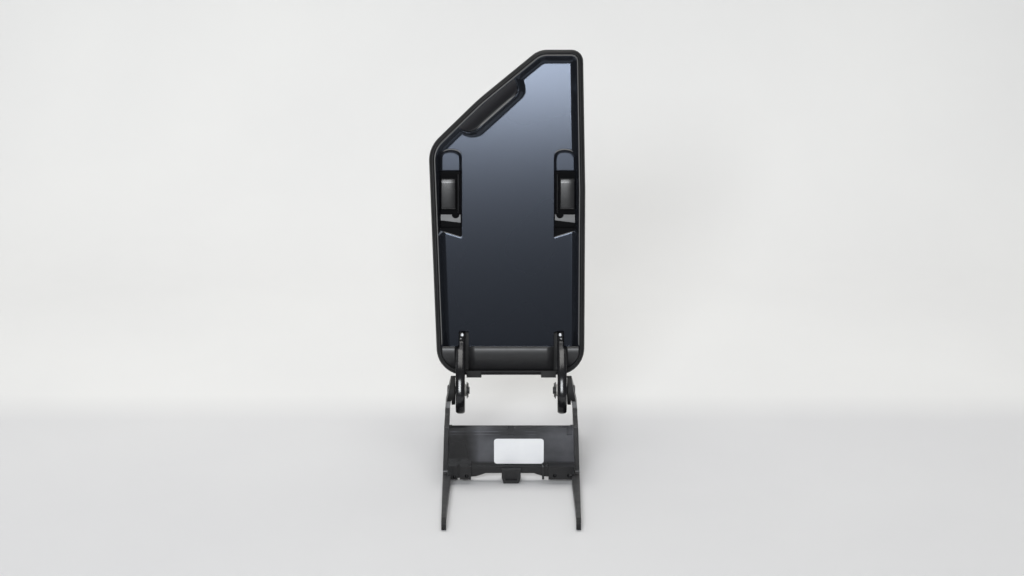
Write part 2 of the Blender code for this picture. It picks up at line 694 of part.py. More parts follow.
def make_side_rail(side):
    s = -1.0 if side == "left" else 1.0
    front = RAIL_FRONT_Y + TIP_LEN + GAP
    back = RAIL_BACK_Y
    h = RAIL_H
    up_f = UPRIGHT_FRONT_Y
    up_b = UPRIGHT_BACK_Y
    points = [(front, 0.0), (back - 2 * MM, 0.0)]
    points += arc(back - 3 * MM, 3 * MM, 3 * MM, -60, 0, 3)
    points += arc(back - 3 * MM, h - 3 * MM, 3 * MM, 0, 90, 4)
    points += arc(up_b + 8 * MM, h + 8 * MM, 8 * MM, 270, 180, 6)
    points += [(up_b, 50 * MM), (up_b - 1.5 * MM, 58 * MM), (up_b - 5 * MM, 66 * MM)]
    points += arc(PIVOT_Y, PIVOT_Z, EAR_R, -30, 210, 24)
    points += [(34.0 * MM, 66.5 * MM), (30.0 * MM, 62.2 * MM), (26.0 * MM, UPRIGHT_Z)]
    points += arc(up_f + 2 * MM, UPRIGHT_Z - 2 * MM, 2 * MM, 90, 180, 3)
    points += arc(up_f - 4 * MM, h + 4 * MM, 4 * MM, 360, 270, 5)
    points.append((front, h))
    x = sorted((s * (RAIL_OUT_X - RAIL_T), s * RAIL_OUT_X))
    rail = prism_x("side_rail_" + side, points, *x, "steel_black")
    bm = bmesh.new()
    bm.from_mesh(rail.data)
    everything = bm.verts[:] + bm.edges[:] + bm.faces[:]
    bmesh.ops.bisect_plane(bm, geom=everything, plane_co=(0, 0, LEAN_Z), plane_no=(0, 0, 1))
    for v in bm.verts:
        if v.co.z > LEAN_Z:
            v.co.x -= s * (v.co.z - LEAN_Z) * LEAN_TAN
    bm.to_mesh(rail.data)
    bm.free()
    boss_r = EAR_R - 0.05 * MM
    boss = lathe_x("boss", [(s * BOSS_IN_X, boss_r - 0.55 * MM), (s * (BOSS_IN_X + 0.6 * MM), boss_r),
                            (s * (RAIL_OUT_X - 6.5 * MM), boss_r)], PIVOT_Y, PIVOT_Z, steps=36)
    join(rail, boss)
    bore_r = PIN_R + GAP
    cut(rail, lathe_x("bore", [(s * 50 * MM, bore_r), (s * 75 * MM, bore_r)], PIVOT_Y, PIVOT_Z))
    seat_r = PIN_HEAD_R + 2 * GAP
    cut(rail, lathe_x("seat", [(s * PIN_SEAT_X, seat_r), (s * 75 * MM, seat_r)], PIVOT_Y, PIVOT_Z))
    for z in SCREW_Z:
        head_r = SCREW_HEAD_R + GAP
        cut(rail, lathe_x("bore", [(s * 60 * MM, SCREW_R + GAP), (s * 75 * MM, SCREW_R + GAP)],
                          SCREW_Y, z, steps=24))
        cut(rail, lathe_x("seat", [(s * (RAIL_OUT_X - SCREW_HEAD_T - GAP), head_r),
                                   (s * 75 * MM, head_r)], SCREW_Y, z, steps=24))
    flange = [(s * (RAIL_OUT_X - RAIL_T + 1 * MM), front + 16 * MM),
              (s * (RAIL_OUT_X - RAIL_T), front + 16 * MM),
              (s * (RAIL_OUT_X - RAIL_T - FLANGE_OUT), -BOSS_OUT_Y - GAP),
              (s * (RAIL_OUT_X - RAIL_T + 1 * MM), -BOSS_OUT_Y - GAP)]
    join(rail, loft("flange", [[(x, y, z) for x, y in flange] for z in (0.0, h)]))
    tongue_x = sorted((s * (RAIL_OUT_X - 1.4 * MM), s * (RAIL_OUT_X - RAIL_T + 1.4 * MM)))
    tongue = box("tongue", tongue_x, (front - 6 * MM, front + 1 * MM), (2.6 * MM, 7.0 * MM))
    return splay(join(rail, tongue), 0.0)


def make_rail_tip(side):
    s = -1.0 if side == "left" else 1.0
    back = RAIL_FRONT_Y + TIP_LEN
    front = RAIL_FRONT_Y
    h = RAIL_H
    points = [(back, 0.0), (back, h)]
    points += arc(front + 4 * MM, h - 4 * MM, 4 * MM, 90, 180, 5)
    points += arc(front + 3 * MM, 3 * MM, 3 * MM, 180, 255, 4)
    points.append((front + 3.8 * MM, 0.0))
    x = sorted((s * (RAIL_OUT_X - RAIL_T), s * RAIL_OUT_X))
    tip = prism_x("rail_tip_" + side, points, *x, "rubber")
    slot_x = sorted((s * (RAIL_OUT_X - 1.4 * MM + GAP), s * (RAIL_OUT_X - RAIL_T + 1.4 * MM - GAP)))
    slot = box("slot", slot_x, (back - 6 * MM, back + 5 * MM), (2.6 * MM - GAP, 7.0 * MM + GAP))
    return splay(cut(tip, slot), 0.0)


def make_cross_panel():
    top = PANEL_TOP_Z
    plate = PANEL_PLATE_T
    profile = [(-5.0 * MM, top), (-5.0 * MM, top - 4.1 * MM), (-2.6 * MM, top - 4.1 * MM),
               (-2.6 * MM, top - 8.1 * MM), (0.0, top - 8.1 * MM), (0.0, LEDGE_Z), (-3.0 * MM, LEDGE_Z),
               (-3.0 * MM, FLANGE_Z), (plate, FLANGE_Z), (plate, top)]
    panel = prism_x("cross_panel", profile, -PANEL_HALF, PANEL_HALF, "matte_plastic")
    for side, inner in BOSS_IN.items():
        s = -1.0 if side == "left" else 1.0
        boss_x = sorted((s * inner, s * (PANEL_HALF - 0.2 * MM)))
        join(panel, box("boss", boss_x, (-BOSS_OUT_Y, plate - 0.1 * MM), (BOSS_LOW_Z, BOSS_TOP_Z)))
        gusset = [(s * (inner - 0.5 * MM), FLANGE_Z + 1 * MM), (s * (inner + 1 * MM), FLANGE_Z + 1 * MM),
                  (s * (inner + 1 * MM), BOSS_LOW_Z + 0.3 * MM),
                  (s * (inner - 5 * MM), BOSS_LOW_Z + 0.9 * MM),
                  (s * (inner - 12 * MM), FLANGE_Z - 1.2 * MM),
                  (s * (inner - 17 * MM), FLANGE_Z + 1 * MM)]
        join(panel, prism_y("gusset", gusset, -2.9 * MM, plate - 0.2 * MM))
        side_x = sorted((s * PANEL_HALF, s * (PANEL_HALF - SIDE_FLANGE_T)))
        join(panel, box("flange", side_x, (1 * MM, 24 * MM), (LEDGE_Z, top - 7.5 * MM)))
    join(panel, box("rib", (31.4 * MM, 33.6 * MM), (-9.4 * MM, 0.5 * MM),
                    (BOSS_LOW_Z, BOSS_TOP_Z - 1 * MM)))
    cut(panel, box("slot", (-54.6 * MM, -52.2 * MM), (-11 * MM, -5 * MM), (0.0, 24 * MM)))
    cut(panel, box("notch", (-3.3 * MM, 2.5 * MM), (-7 * MM, 1.0 * MM), (top - 9.6 * MM, top + 1 * MM)))
    cut(panel, box("relief", (56.9 * MM, 61.6 * MM), (-7 * MM, 1.4 * MM), (top - 9.4 * MM, top + 1 * MM)))
    for x, z in ((-57.8, 8.2), (-45.4, 9.2), (44.4, 9.6), (59.0, 9.6)):
        cut(panel, rod_y("hole", 2.0 * MM, x * MM, z * MM, -12 * MM, -5 * MM, steps=20))
    for s in (-1.0, 1.0):
        for z in SCREW_Z:
            cut(panel, lathe_x("bore", [(s * 55 * MM, SCREW_R + GAP), (s * 75 * MM, SCREW_R + GAP)],
                               SCREW_Y, z, steps=24))
    return splay(panel, SPLAY_FROM_X)


def make_center_foot():
    half = FOOT_HALF_Y
    top = LEDGE_Z - GAP
    points = [(-half + 1.5 * MM, 0.0), (half - 1.5 * MM, 0.0), (half, 1.5 * MM), (half, top),
              (-half, top), (-half, 1.5 * MM)]
    foot = prism_x("center_foot", points, -FOOT_HALF_X, FOOT_HALF_X, "matte_plastic")
    for s in (-1.0, 1.0):
        taper = [(s * 20 * MM, -1 * MM), (s * (FOOT_HALF_X - 2.4 * MM), -1 * MM),
                 (s * (FOOT_HALF_X + 0.4 * MM), 8 * MM), (s * 20 * MM, 8 * MM)]
        cut(foot, prism_y("taper", taper, -20 * MM, 20 * MM))
    cut(foot, box("slot", (-20 * MM, 20 * MM), (-3.0 * MM - GAP, PANEL_PLATE_T + GAP),
                  (FLANGE_Z - GAP, 30 * MM)))
    cut(foot, box("hollow", (-6 * MM, 6 * MM), (-12 * MM, -6.5 * MM), (4 * MM, 13 * MM)))
    return foot


def make_panel_screws(side):
    s = -1.0 if side == "left" else 1.0
    head = RAIL_OUT_X - SCREW_HEAD_T
    profile = [(PANEL_HALF - SIDE_FLANGE_T - 1.7 * MM, SCREW_R), (head, SCREW_R), (head, SCREW_HEAD_R),
               (RAIL_OUT_X - 0.7 * MM, SCREW_HEAD_R),
               (RAIL_OUT_X - 0.1 * MM, SCREW_HEAD_R - 0.9 * MM)]
    for place, z in zip(("low", "high"), SCREW_Z):
        out = splay_at(SCREW_Y, z)
        lathe_x("panel_screw_%s_%s" % (side, place), [(s * (x + out), r) for x, r in profile],
                SCREW_Y, z, "zinc", steps=24)


def make_label():
    r = 3.0 * MM
    points = arc(LABEL_X1 - r, LABEL_Z1 - r, r, 0, 90, 5)
    points += arc(LABEL_X0 + r, LABEL_Z1 - r, r, 90, 180, 5)
    points += arc(LABEL_X0 + r, LABEL_Z0 + r, r, 180, 270, 5)
    points += arc(LABEL_X1 - r, LABEL_Z0 + r, r, 270, 360, 5)
    return prism_y("parts_label", points, -GAP - LABEL_T, -GAP, "label_white")


def make_hinge_pin(side):
    s = -1.0 if side == "left" else 1.0
    clip_x = CLIP_X - CLIP_T
    head_x = PIN_SEAT_X + GAP
    end_x = clip_x - GAP - 0.8 * MM
    profile = [(end_x, PIN_R - 0.6 * MM), (end_x + 0.5 * MM, PIN_R), (clip_x - GAP, PIN_R),
               (clip_x - GAP, GROOVE_R), (clip_x + CLIP_T + GAP, GROOVE_R),
               (clip_x + CLIP_T + GAP, PIN_R), (head_x, PIN_R), (head_x, PIN_HEAD_R),
               (head_x + PIN_HEAD_T * 0.5, PIN_HEAD_R), (head_x + PIN_HEAD_T, PIN_HEAD_R - 1.6 * MM)]
    return lathe_x("hinge_pin_" + side, [(s * x, r) for x, r in profile], PIVOT_Y, PIVOT_Z,
                   "pin_steel", steps=28)


def make_pin_washer(side):
    s = -1.0 if side == "left" else 1.0
    x = sorted((s * WASHER_X, s * (WASHER_X - WASHER_T)))
    return tube_x("pin_washer_" + side, PIN_R + GAP, WASHER_R, *x, PIVOT_Y, PIVOT_Z, "zinc")


def make_pin_clip(side):
    s = -1.0 if side == "left" else 1.0
    x = sorted((s * CLIP_X, s * (CLIP_X - CLIP_T)))
    points = arc(PIVOT_Y, PIVOT_Z, CLIP_R, -50, 230, 24)
    points += arc(PIVOT_Y, PIVOT_Z, GROOVE_R + GAP, 230, -50, 24)
    return prism_x("pin_clip_" + side, points, *x, "spring_steel")


def make_arm_bush(side):
    s = -1.0 if side == "left" else 1.0
    x = sorted((s * (ARM_IN_X - BUSH_OUT), s * (ARM_OUT_X - 0.1 * MM)))
    inner = PIN_R + GAP
    return tube_x("arm_bush_" + side, inner, inner + BUSH_WALL, *x, 0.0, 0.0, "bush_plastic")


def main():
    for obj in list(bpy.data.objects):
        bpy.data.objects.remove(obj, do_unlink=True)

    make_cross_panel()
    make_center_foot()
    make_label()
    for side in ("left", "right"):
        make_panel_screws(side)
        make_side_rail(side)
        make_rail_tip(side)
        make_hinge_pin(side)
        make_pin_washer(side)
        make_pin_clip(side)

    lid = [make_leather_cover(), make_foam_pad(), make_lid_carrier(), make_inner_panel(),
           make_rear_closeout()]
    lid += make_panel_clips()
    for side in ("left", "right"):
        lid += [make_hinge_arm(side), make_arm_bush(side), make_arm_screw(side),
                make_rear_edge_clip(side), make_latch_frame(side), make_latch_rod(side),
                make_latch_spring(side), make_latch_slider(side)]
    axis = lid_axis_empty()
    for obj in lid:
        obj.parent = axis
    bpy.context.view_layer.update()


main()
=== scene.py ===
"""Looks of the center console armrest lid: the camera, the room, and each visible surface."""

import math

import bmesh
import bpy
import numpy as np
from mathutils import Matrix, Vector


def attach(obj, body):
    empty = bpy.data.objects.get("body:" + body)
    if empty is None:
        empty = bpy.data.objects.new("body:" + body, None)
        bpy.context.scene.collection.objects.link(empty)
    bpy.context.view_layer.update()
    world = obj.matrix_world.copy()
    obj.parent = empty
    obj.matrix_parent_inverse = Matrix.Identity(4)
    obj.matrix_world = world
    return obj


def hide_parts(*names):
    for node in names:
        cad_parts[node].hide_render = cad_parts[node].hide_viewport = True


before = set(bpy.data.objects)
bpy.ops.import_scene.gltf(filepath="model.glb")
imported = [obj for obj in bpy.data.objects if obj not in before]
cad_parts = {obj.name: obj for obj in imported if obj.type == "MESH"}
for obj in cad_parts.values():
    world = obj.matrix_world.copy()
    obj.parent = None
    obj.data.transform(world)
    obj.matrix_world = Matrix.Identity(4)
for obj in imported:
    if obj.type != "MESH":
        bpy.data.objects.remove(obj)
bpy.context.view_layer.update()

MM = 0.001

# Lid axes, as in the CAD: x across, w up the lid, n out of its underside, t into it
PIVOT = Vector((0.0, 50.0, 80.0))
LEAN = math.radians(15.0)
RIM_N = -12.0
LID_T = 35.6
FLOOR_T = 6.4
PANEL_IN = 5.4
SPLIT_W = 43.9
GRIP_CREST_T = 0.9
GRIP_SCOOP_T = 13.4

OUTLINE = (
    (74.4, 351.6, 12.0), (77.0, 206.5, 220.0), (76.1, 14.1, 28.0), (-76.8, 14.1, 28.0),
    (-85.8, 250.6, 32.0), (-34.5, 300.2, 220.0), (28.5, 351.6, 24.0),
)
POCKET_X = {"left": -62.9, "right": 55.8}
POCKET_HALF = 11.9
POCKET_OUT_W = 164.5
POCKET_IN_W = 157.2
POCKET_TOP_W = 248.5
POCKET_ROUND = 9.0
WINDOW_HALF = 10.6
WINDOW_LOW_W = 168.0
WINDOW_TOP_W = 226.0
WINDOW_T = 14.6
LOW_END_TOP_W = 168.6
LOW_END_REACH = 9.5
LOW_END_DROP = 2.8
RAMP_LOW_W = 174.0
RAMP_TOP_W = 181.5
RAMP_FRONT_T = 11.4
PIN_SHADE_REACH = 16.0
CREST = [(-55.5, 272.5), (-51.5, 268.3), (-47.0, 266.2), (-41.9, 266.2), (-37.0, 268.2),
         (-33.8, 270.4), (-13.6, 288.3), (5.0, 304.6), (7.0, 308.6), (6.4, 315.0),
         (2.8, 324.0), (-10.0, 322.0), (-34.0, 302.0), (-58.0, 278.0)]
GRIP_BASE = [(-54.0, 270.0), (-51.5, 266.2), (-48.0, 263.4), (-43.0, 261.8), (-36.2, 261.6),
             (-31.0, 263.4), (-9.6, 282.6), (12.2, 302.8), (15.0, 307.6), (14.6, 314.5),
             (11.0, 326.0), (-12.0, 326.0), (-38.0, 303.0), (-60.0, 279.0)]


def to_world(x, w, n):
    """A point given in the lid's axes, in millimetres, as a world point in metres."""
    y = PIVOT.y + w * math.sin(LEAN) - n * math.cos(LEAN)
    z = PIVOT.z + w * math.cos(LEAN) + n * math.sin(LEAN)
    return (x * MM, y * MM, z * MM)


def add_object(name, data):
    obj = bpy.data.objects.new(name, data)
    bpy.context.scene.collection.objects.link(obj)
    return obj


def shade_smooth(mesh):
    for polygon in mesh.polygons:
        polygon.use_smooth = True


def turn_faces_out(mesh):
    bm = bmesh.new()
    bm.from_mesh(mesh)
    bmesh.ops.recalc_face_normals(bm, faces=bm.faces)
    bm.to_mesh(mesh)
    bm.free()


def grey(value):
    return (value, value, value)


class Look:
    """A Principled material with helper calls for the nodes that drive it."""

    def __init__(self, name, colour, roughness, metallic=0.0):
        self.material = bpy.data.materials.new(name)
        self.material.use_nodes = True
        self.tree = self.material.node_tree
        self.shader = self.tree.nodes["Principled BSDF"]
        self.shader.inputs["Base Color"].default_value = (*colour, 1.0)
        self.shader.inputs["Roughness"].default_value = roughness
        self.shader.inputs["Metallic"].default_value = metallic
        self.coords = self.tree.nodes.new("ShaderNodeTexCoord")

    def add(self, kind, **settings):
        node = self.tree.nodes.new(kind)
        for key, value in settings.items():
            setattr(node, key, value)
        return node

    def link(self, a, b):
        self.tree.links.new(a, b)

    def noise(self, scale, detail=4.0, stretch=(1.0, 1.0, 1.0)):
        mapping = self.add("ShaderNodeMapping")
        mapping.inputs["Scale"].default_value = stretch
        self.link(self.coords.outputs["Object"], mapping.inputs["Vector"])
        node = self.add("ShaderNodeTexNoise")
        node.inputs["Scale"].default_value = scale
        node.inputs["Detail"].default_value = detail
        self.link(mapping.outputs["Vector"], node.inputs["Vector"])
        return node.outputs["Fac"]

    def cells(self, scale):
        node = self.add("ShaderNodeTexVoronoi")
        node.inputs["Scale"].default_value = scale
        self.link(self.coords.outputs["Object"], node.inputs["Vector"])
        return node.outputs["Distance"]

    def ramp(self, fac, stops):
        node = self.add("ShaderNodeValToRGB")
        elements = node.color_ramp.elements
        while len(elements) < len(stops):
            elements.new(0.5)
        for element, (place, colour) in zip(elements, stops):
            element.position = place
            element.color = (*colour, 1.0)
        self.link(fac, node.inputs["Fac"])
        return node.outputs["Color"]

    def spread(self, fac, low, high, from_low=0.3, from_high=0.7):
        node = self.add("ShaderNodeMapRange")
        node.inputs["From Min"].default_value = from_low
        node.inputs["From Max"].default_value = from_high
        node.inputs["To Min"].default_value = low
        node.inputs["To Max"].default_value = high
        self.link(fac, node.inputs["Value"])
        return node.outputs["Result"]

    def bump(self, fac, strength, distance, before=None):
        node = self.add("ShaderNodeBump")
        node.inputs["Strength"].default_value = strength
        node.inputs["Distance"].default_value = distance
        self.link(fac, node.inputs["Height"])
        if before is not None:
            self.link(before, node.inputs["Normal"])
        return node.outputs["Normal"]

    def combine(self, operation, a, b):
        node = self.add("ShaderNodeMath", operation=operation)
        self.link(a, node.inputs[0])
        self.link(b, node.inputs[1])
        return node.outputs[0]

    def set(self, name, output):
        self.link(output, self.shader.inputs[name])


def moulded_plastic(name, dark, light, rough_low, rough_high, grain=900.0):
    look = Look(name, dark, rough_low)
    cloud = look.noise(14.0)
    look.set("Base Color", look.ramp(cloud, [(0.35, dark), (0.7, light)]))
    look.set("Roughness", look.spread(look.noise(55.0), rough_low, rough_high))
    look.set("Normal", look.bump(look.noise(grain, 2.0), 0.25, 0.00003))
    return look.material


def painted_steel(name, dark, light, rough_low, rough_high):
    look = Look(name, dark, rough_low)
    wear = look.noise(70.0, 6.0)
    look.set("Base Color", look.ramp(wear, [(0.3, dark), (0.66, light), (0.8, tuple(3 * v for v in light))]))
    look.set("Roughness", look.spread(look.noise(120.0), rough_low, rough_high))
    look.set("Normal", look.bump(look.noise(420.0, 3.0), 0.3, 0.00005))
    return look.material


def bare_steel(name, colour, roughness):
    look = Look(name, colour, roughness, metallic=1.0)
    dark = tuple(0.72 * v for v in colour)
    look.set("Base Color", look.ramp(look.noise(160.0, 4.0), [(0.3, dark), (0.65, colour)]))
    look.set("Roughness", look.spread(look.noise(500.0, 3.0, (1.0, 6.0, 6.0)), roughness, roughness + 0.18))
    look.set("Normal", look.bump(look.noise(900.0, 2.0, (1.0, 8.0, 8.0)), 0.2, 0.00002))
    return look.material


def leather_look():
    look = Look("leather_black", (0.02, 0.02, 0.021), 0.55)
    pebble = look.cells(850.0)
    fine = look.noise(1600.0, 3.0)
    broad = look.noise(22.0, 4.0)
    look.set("Base Color", look.ramp(broad, [(0.3, (0.015, 0.015, 0.0155)), (0.7, (0.023, 0.023, 0.0235))]))
    look.set("Roughness", look.spread(pebble, 0.62, 0.44, 0.1, 0.6))
    first = look.bump(pebble, 0.45, 0.00016)
    look.set("Normal", look.bump(fine, 0.25, 0.00004, first))
    look.shader.inputs["Specular IOR Level"].default_value = 0.16
    return look.material


def panel_look():
    look = Look("panel_black", (0.011, 0.012, 0.0145), 0.17)
    tone = look.noise(3.0, 2.0)
    look.set("Base Color", look.ramp(tone, [(0.0, (0.009, 0.010, 0.0125)), (1.0, (0.011, 0.012, 0.015))]))
    look.set("Roughness", look.spread(look.noise(4.0, 1.0), 0.166, 0.174, 0.0, 1.0))
    look.set("Normal", look.bump(look.noise(900.0, 1.0), 0.05, 0.00001))
    # The blue specular tint is painted light: it gives the panel's reflections the cool colour of the window
    # light.
    look.shader.inputs["Specular Tint"].default_value = (0.70, 0.80, 1.0, 1.0)
    return look.material


def haze_and_painted_light_plastic():
    """The cross panel's plastic: patches of dull film, with painted reflection and shade across it, painted
    shade below the ledge and painted highlights along the step edges.
    """
    look = Look("cross_panel_plastic", (0.012, 0.012, 0.013), 0.3)
    parts = look.add("ShaderNodeSeparateXYZ")
    look.link(look.coords.outputs["Object"], parts.inputs["Vector"])
    across = look.spread(parts.outputs["X"], 0.0, 1.0, -0.065, 0.065)
    # Along x: dark at the left end, lighter in the middle and at the right, as painted reflection and
    # painted shade.
    sides = look.ramp(across, [(0.14, grey(0.05)), (0.25, grey(0.62)), (0.42, grey(0.5)),
                               (0.75, grey(0.4)), (0.9, grey(0.58))])
    cloud = look.spread(look.noise(16.0, 5.0, (1.0, 1.0, 1.6)), -0.22, 0.34)
    height = look.spread(parts.outputs["Z"], 0.0, 1.0, 0.0, 0.06)
    # Below the ledge, at about 20 mm, the panel is kept dark: painted shade.
    upper = look.ramp(height, [(0.31, grey(0.12)), (0.36, grey(1.0))])
    # Two thin light lines at the top band's step edges, broken up by noise: painted highlights.
    between_lines, highlight_line = grey(0.0), grey(0.9)
    steps = look.ramp(height, [(0.0, between_lines), (0.846, between_lines), (0.856, highlight_line), (0.866, between_lines),
                               (0.914, between_lines), (0.924, highlight_line), (0.936, between_lines)])
    line_breakup = look.spread(look.noise(30.0, 3.0), 0.0, 1.0, 0.44, 0.62)
    # Dull film and the painted light are added together, and the sum sets both colour and roughness.
    film_and_painted_light = look.combine("ADD", sides, cloud)
    film_and_painted_light = look.combine("MULTIPLY", film_and_painted_light, upper)
    film_and_painted_light = look.combine("ADD", film_and_painted_light, look.combine("MULTIPLY", steps, line_breakup))
    look.set("Base Color", look.ramp(film_and_painted_light, [(0.2, (0.009, 0.009, 0.010)), (0.5, (0.046, 0.047, 0.053)),
                                            (0.85, (0.12, 0.123, 0.137))]))
    look.set("Roughness", look.spread(film_and_painted_light, 0.24, 0.46, 0.0, 1.0))
    look.set("Normal", look.bump(look.noise(90.0, 4.0), 0.25, 0.0002))
    return look.material


def label_look():
    look = Look("label_white", (0.92, 0.93, 0.94), 0.42)
    cloud = look.noise(60.0)
    look.set("Base Color", look.ramp(cloud, [(0.3, (0.89, 0.90, 0.92)), (0.7, (0.94, 0.95, 0.96))]))
    look.set("Roughness", look.spread(look.noise(200.0), 0.38, 0.5))
    return look.material


PANEL = panel_look()
LEATHER = leather_look()
PLASTIC = moulded_plastic("plastic_black", (0.010, 0.010, 0.011), (0.017, 0.017, 0.018), 0.42, 0.55)
SATIN = moulded_plastic("plastic_satin", (0.018, 0.018, 0.019), (0.025, 0.025, 0.0265), 0.32, 0.4)
# A darker, duller copy of the black plastic for the latch frames and the pockets' low ends: painted shade.
DEEP = moulded_plastic("recess_painted_shade", (0.006, 0.006, 0.0066), (0.008, 0.008, 0.0088), 0.8, 0.9)
DEEP.node_tree.nodes["Principled BSDF"].inputs["Specular IOR Level"].default_value = 0.06
LATCH = moulded_plastic("latch_plastic", (0.011, 0.0112, 0.0118), (0.015, 0.015, 0.016), 0.19, 0.23, 1200.0)
RAMP = moulded_plastic("ramp_plastic", (0.011, 0.011, 0.0125), (0.015, 0.015, 0.017), 0.33, 0.38, 1200.0)
# Light grey for the thin strips along the panel's edges: painted highlights.
EDGE_HIGHLIGHT = moulded_plastic("edge_painted_highlight", (0.10, 0.099, 0.098), (0.125, 0.124, 0.123), 0.34, 0.42)
SCOOP = moulded_plastic("grip_plastic", (0.034, 0.0335, 0.037), (0.042, 0.0415, 0.045), 0.42, 0.5)
HIDDEN = moulded_plastic("carrier_plastic", (0.03, 0.03, 0.031), (0.04, 0.04, 0.041), 0.55, 0.65)
ACETAL = moulded_plastic("acetal", (0.48, 0.47, 0.44), (0.54, 0.53, 0.5), 0.4, 0.5)
# Rubber, made near-black: on the rail tips' end faces and the boss round the hinge pin the extra darkness is
# painted shade.
RUBBER = moulded_plastic("rubber_black", (0.004, 0.004, 0.004), (0.008, 0.008, 0.008), 0.6, 0.75, 500.0)
PAINT = painted_steel("paint_black", (0.019, 0.019, 0.020), (0.033, 0.033, 0.034), 0.36, 0.5)
ARM_PAINT = painted_steel("arm_paint", (0.009, 0.009, 0.010), (0.013, 0.013, 0.0145), 0.17, 0.25)
PIN_STEEL = bare_steel("pin_steel", (0.09, 0.09, 0.092), 0.34)
ZINC = bare_steel("zinc_steel", (0.5, 0.51, 0.53), 0.34)
BLACKENED = bare_steel("blackened_steel", (0.045, 0.045, 0.047), 0.36)
LABEL = label_look()
HAZE_AND_PAINTED_LIGHT = haze_and_painted_light_plastic()


# By the start of a CAD node's name: its finish, and the width of its rounded edges
CAD_FINISH = (
    ("side_rail", PAINT), ("cross_panel", HAZE_AND_PAINTED_LIGHT), ("center_foot", PLASTIC), ("rail_tip", RUBBER),
    ("hinge_pin", PIN_STEEL), ("latch_rod", BLACKENED), ("pin_washer", RUBBER), ("panel_screw", ZINC),
    ("arm_screw", ZINC), ("pin_clip", BLACKENED), ("latch_spring", BLACKENED), ("parts_label", LABEL),
    ("latch_frame", DEEP), ("arm_bush", ACETAL), ("lid_carrier", HIDDEN), ("panel_clip", HIDDEN),
    ("rear_edge_clip", RUBBER),
)
BEVEL = {"side_rail": 0.5, "cross_panel": 0.5, "center_foot": 0.6, "rail_tip": 0.5,
         "latch_frame": 0.3, "rear_edge_clip": 0.3, "pin_washer": 0.25, "arm_bush": 0.2}


def cad_material(name):
    """The finish of a CAD node, or None for one that a finer skin stands for."""
    for start, made in CAD_FINISH:
        if name.startswith(start):
            return made
    return None


def second_finish(obj, material, wanted):
    """Give another finish to the faces whose centre, measured from the hinge, and normal are wanted."""
    obj.data.materials.append(material)
    turn = obj.matrix_world.to_3x3()
    for polygon in obj.data.polygons:
        centre = (obj.matrix_world @ polygon.center) / MM - PIVOT
        if wanted(centre, (turn @ polygon.normal).normalized()):
            polygon.material_index = len(obj.data.materials) - 1


def on_ramp(centre, normal):
    """The upper half of the finger ramp at a latch frame's lower end."""
    up = centre.y * math.sin(LEAN) + centre.z * math.cos(LEAN)
    out = centre.z * math.sin(LEAN) - centre.y * math.cos(LEAN)
    face_out = Vector((0.0, -math.cos(LEAN), math.sin(LEAN)))
    return RAMP_LOW_W < up < RAMP_TOP_W and out > RIM_N - RAMP_FRONT_T and normal.dot(face_out) > 0.9


def round_pin(centre, normal):
    """The ear's edges and boss round the hinge pin, which take the darker rubber finish as painted shade
    that hides their highlight.
    """
    return math.hypot(centre.y, centre.z) < PIN_SHADE_REACH and abs(normal.x) < 0.7


def dress_cad_nodes():
    """Give the CAD nodes that stay visible their finish and their rounded edges."""
    for name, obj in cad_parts.items():
        made = cad_material(name)
        if made is None:
            continue
        for slot in obj.material_slots:
            slot.material = made
        shade_smooth(obj.data)
        if name.startswith("latch_frame"):
            second_finish(obj, RAMP, on_ramp)
        if name.startswith("side_rail"):
            second_finish(obj, RUBBER, round_pin)
        for start, width in BEVEL.items():
            if name.startswith(start):
                bevel = obj.modifiers.new("edges", "BEVEL")
                bevel.width = width * MM
                bevel.segments = 2
                bevel.limit_method = "ANGLE"
                bevel.angle_limit = math.radians(40)
                bevel.use_clamp_overlap = True
                bevel.harden_normals = True


def outline_ring(inset, depth, steps=14):
    """The lid's outline moved inwards, as points in the lid's axes."""
    count = len(OUTLINE)
    corners = [Vector((x, w)) for x, w, _ in OUTLINE]
    lines = []
    for k in range(count):
        along = (corners[(k + 1) % count] - corners[k]).normalized()
        lines.append((corners[k] + Vector((along.y, -along.x)) * inset, along))
    ring = []
    for k in range(count):
        p, d = lines[k - 1]
        q, e = lines[k]
        cross = d.x * e.y - d.y * e.x
        s = ((q.x - p.x) * e.y - (q.y - p.y) * e.x) / cross
        corner = p + d * s
        turn = math.acos(max(-1.0, min(1.0, d.dot(e))))
        radius = max(OUTLINE[k][2] - inset, 1.5)
        start = corner - d * radius * math.tan(turn / 2)
        centre = start + Vector((d.y, -d.x)) * radius
        first = start - centre
        for j in range(steps + 1):
            angle = -turn * j / steps
            cosine = math.cos(angle)
            sine = math.sin(angle)
            ring.append((centre.x + first.x * cosine - first.y * sine,
                         centre.y + first.x * sine + first.y * cosine, RIM_N - depth))
    return ring


def even_ring(inset, depth, count=260):
    """The same outline, resampled to points evenly spaced along it."""
    ring = outline_ring(inset, depth)
    points = np.array([(p[0], p[1]) for p in ring])
    closed = np.vstack([points, points[:1]])
    lengths = np.hypot(*(np.diff(closed, axis=0).T))
    along = np.concatenate([[0.0], np.cumsum(lengths)])
    places = np.linspace(0.0, along[-1], count, endpoint=False)
    x = np.interp(places, along, closed[:, 0])
    w = np.interp(places, along, closed[:, 1])
    return [(a, b, RIM_N - depth) for a, b in zip(x, w)]


def new_piece(name, verts, faces, material, body, stands_for):
    """A piece drawn in the lid's axes, on a body, in place of one or more CAD nodes."""
    mesh = bpy.data.meshes.new(name)
    mesh.from_pydata([to_world(*v) for v in verts], [], faces)
    mesh.update()
    obj = add_object(name, mesh)
    mesh.materials.append(material)
    turn_faces_out(mesh)
    shade_smooth(mesh)
    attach(obj, body)
    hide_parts(*stands_for)
    return obj


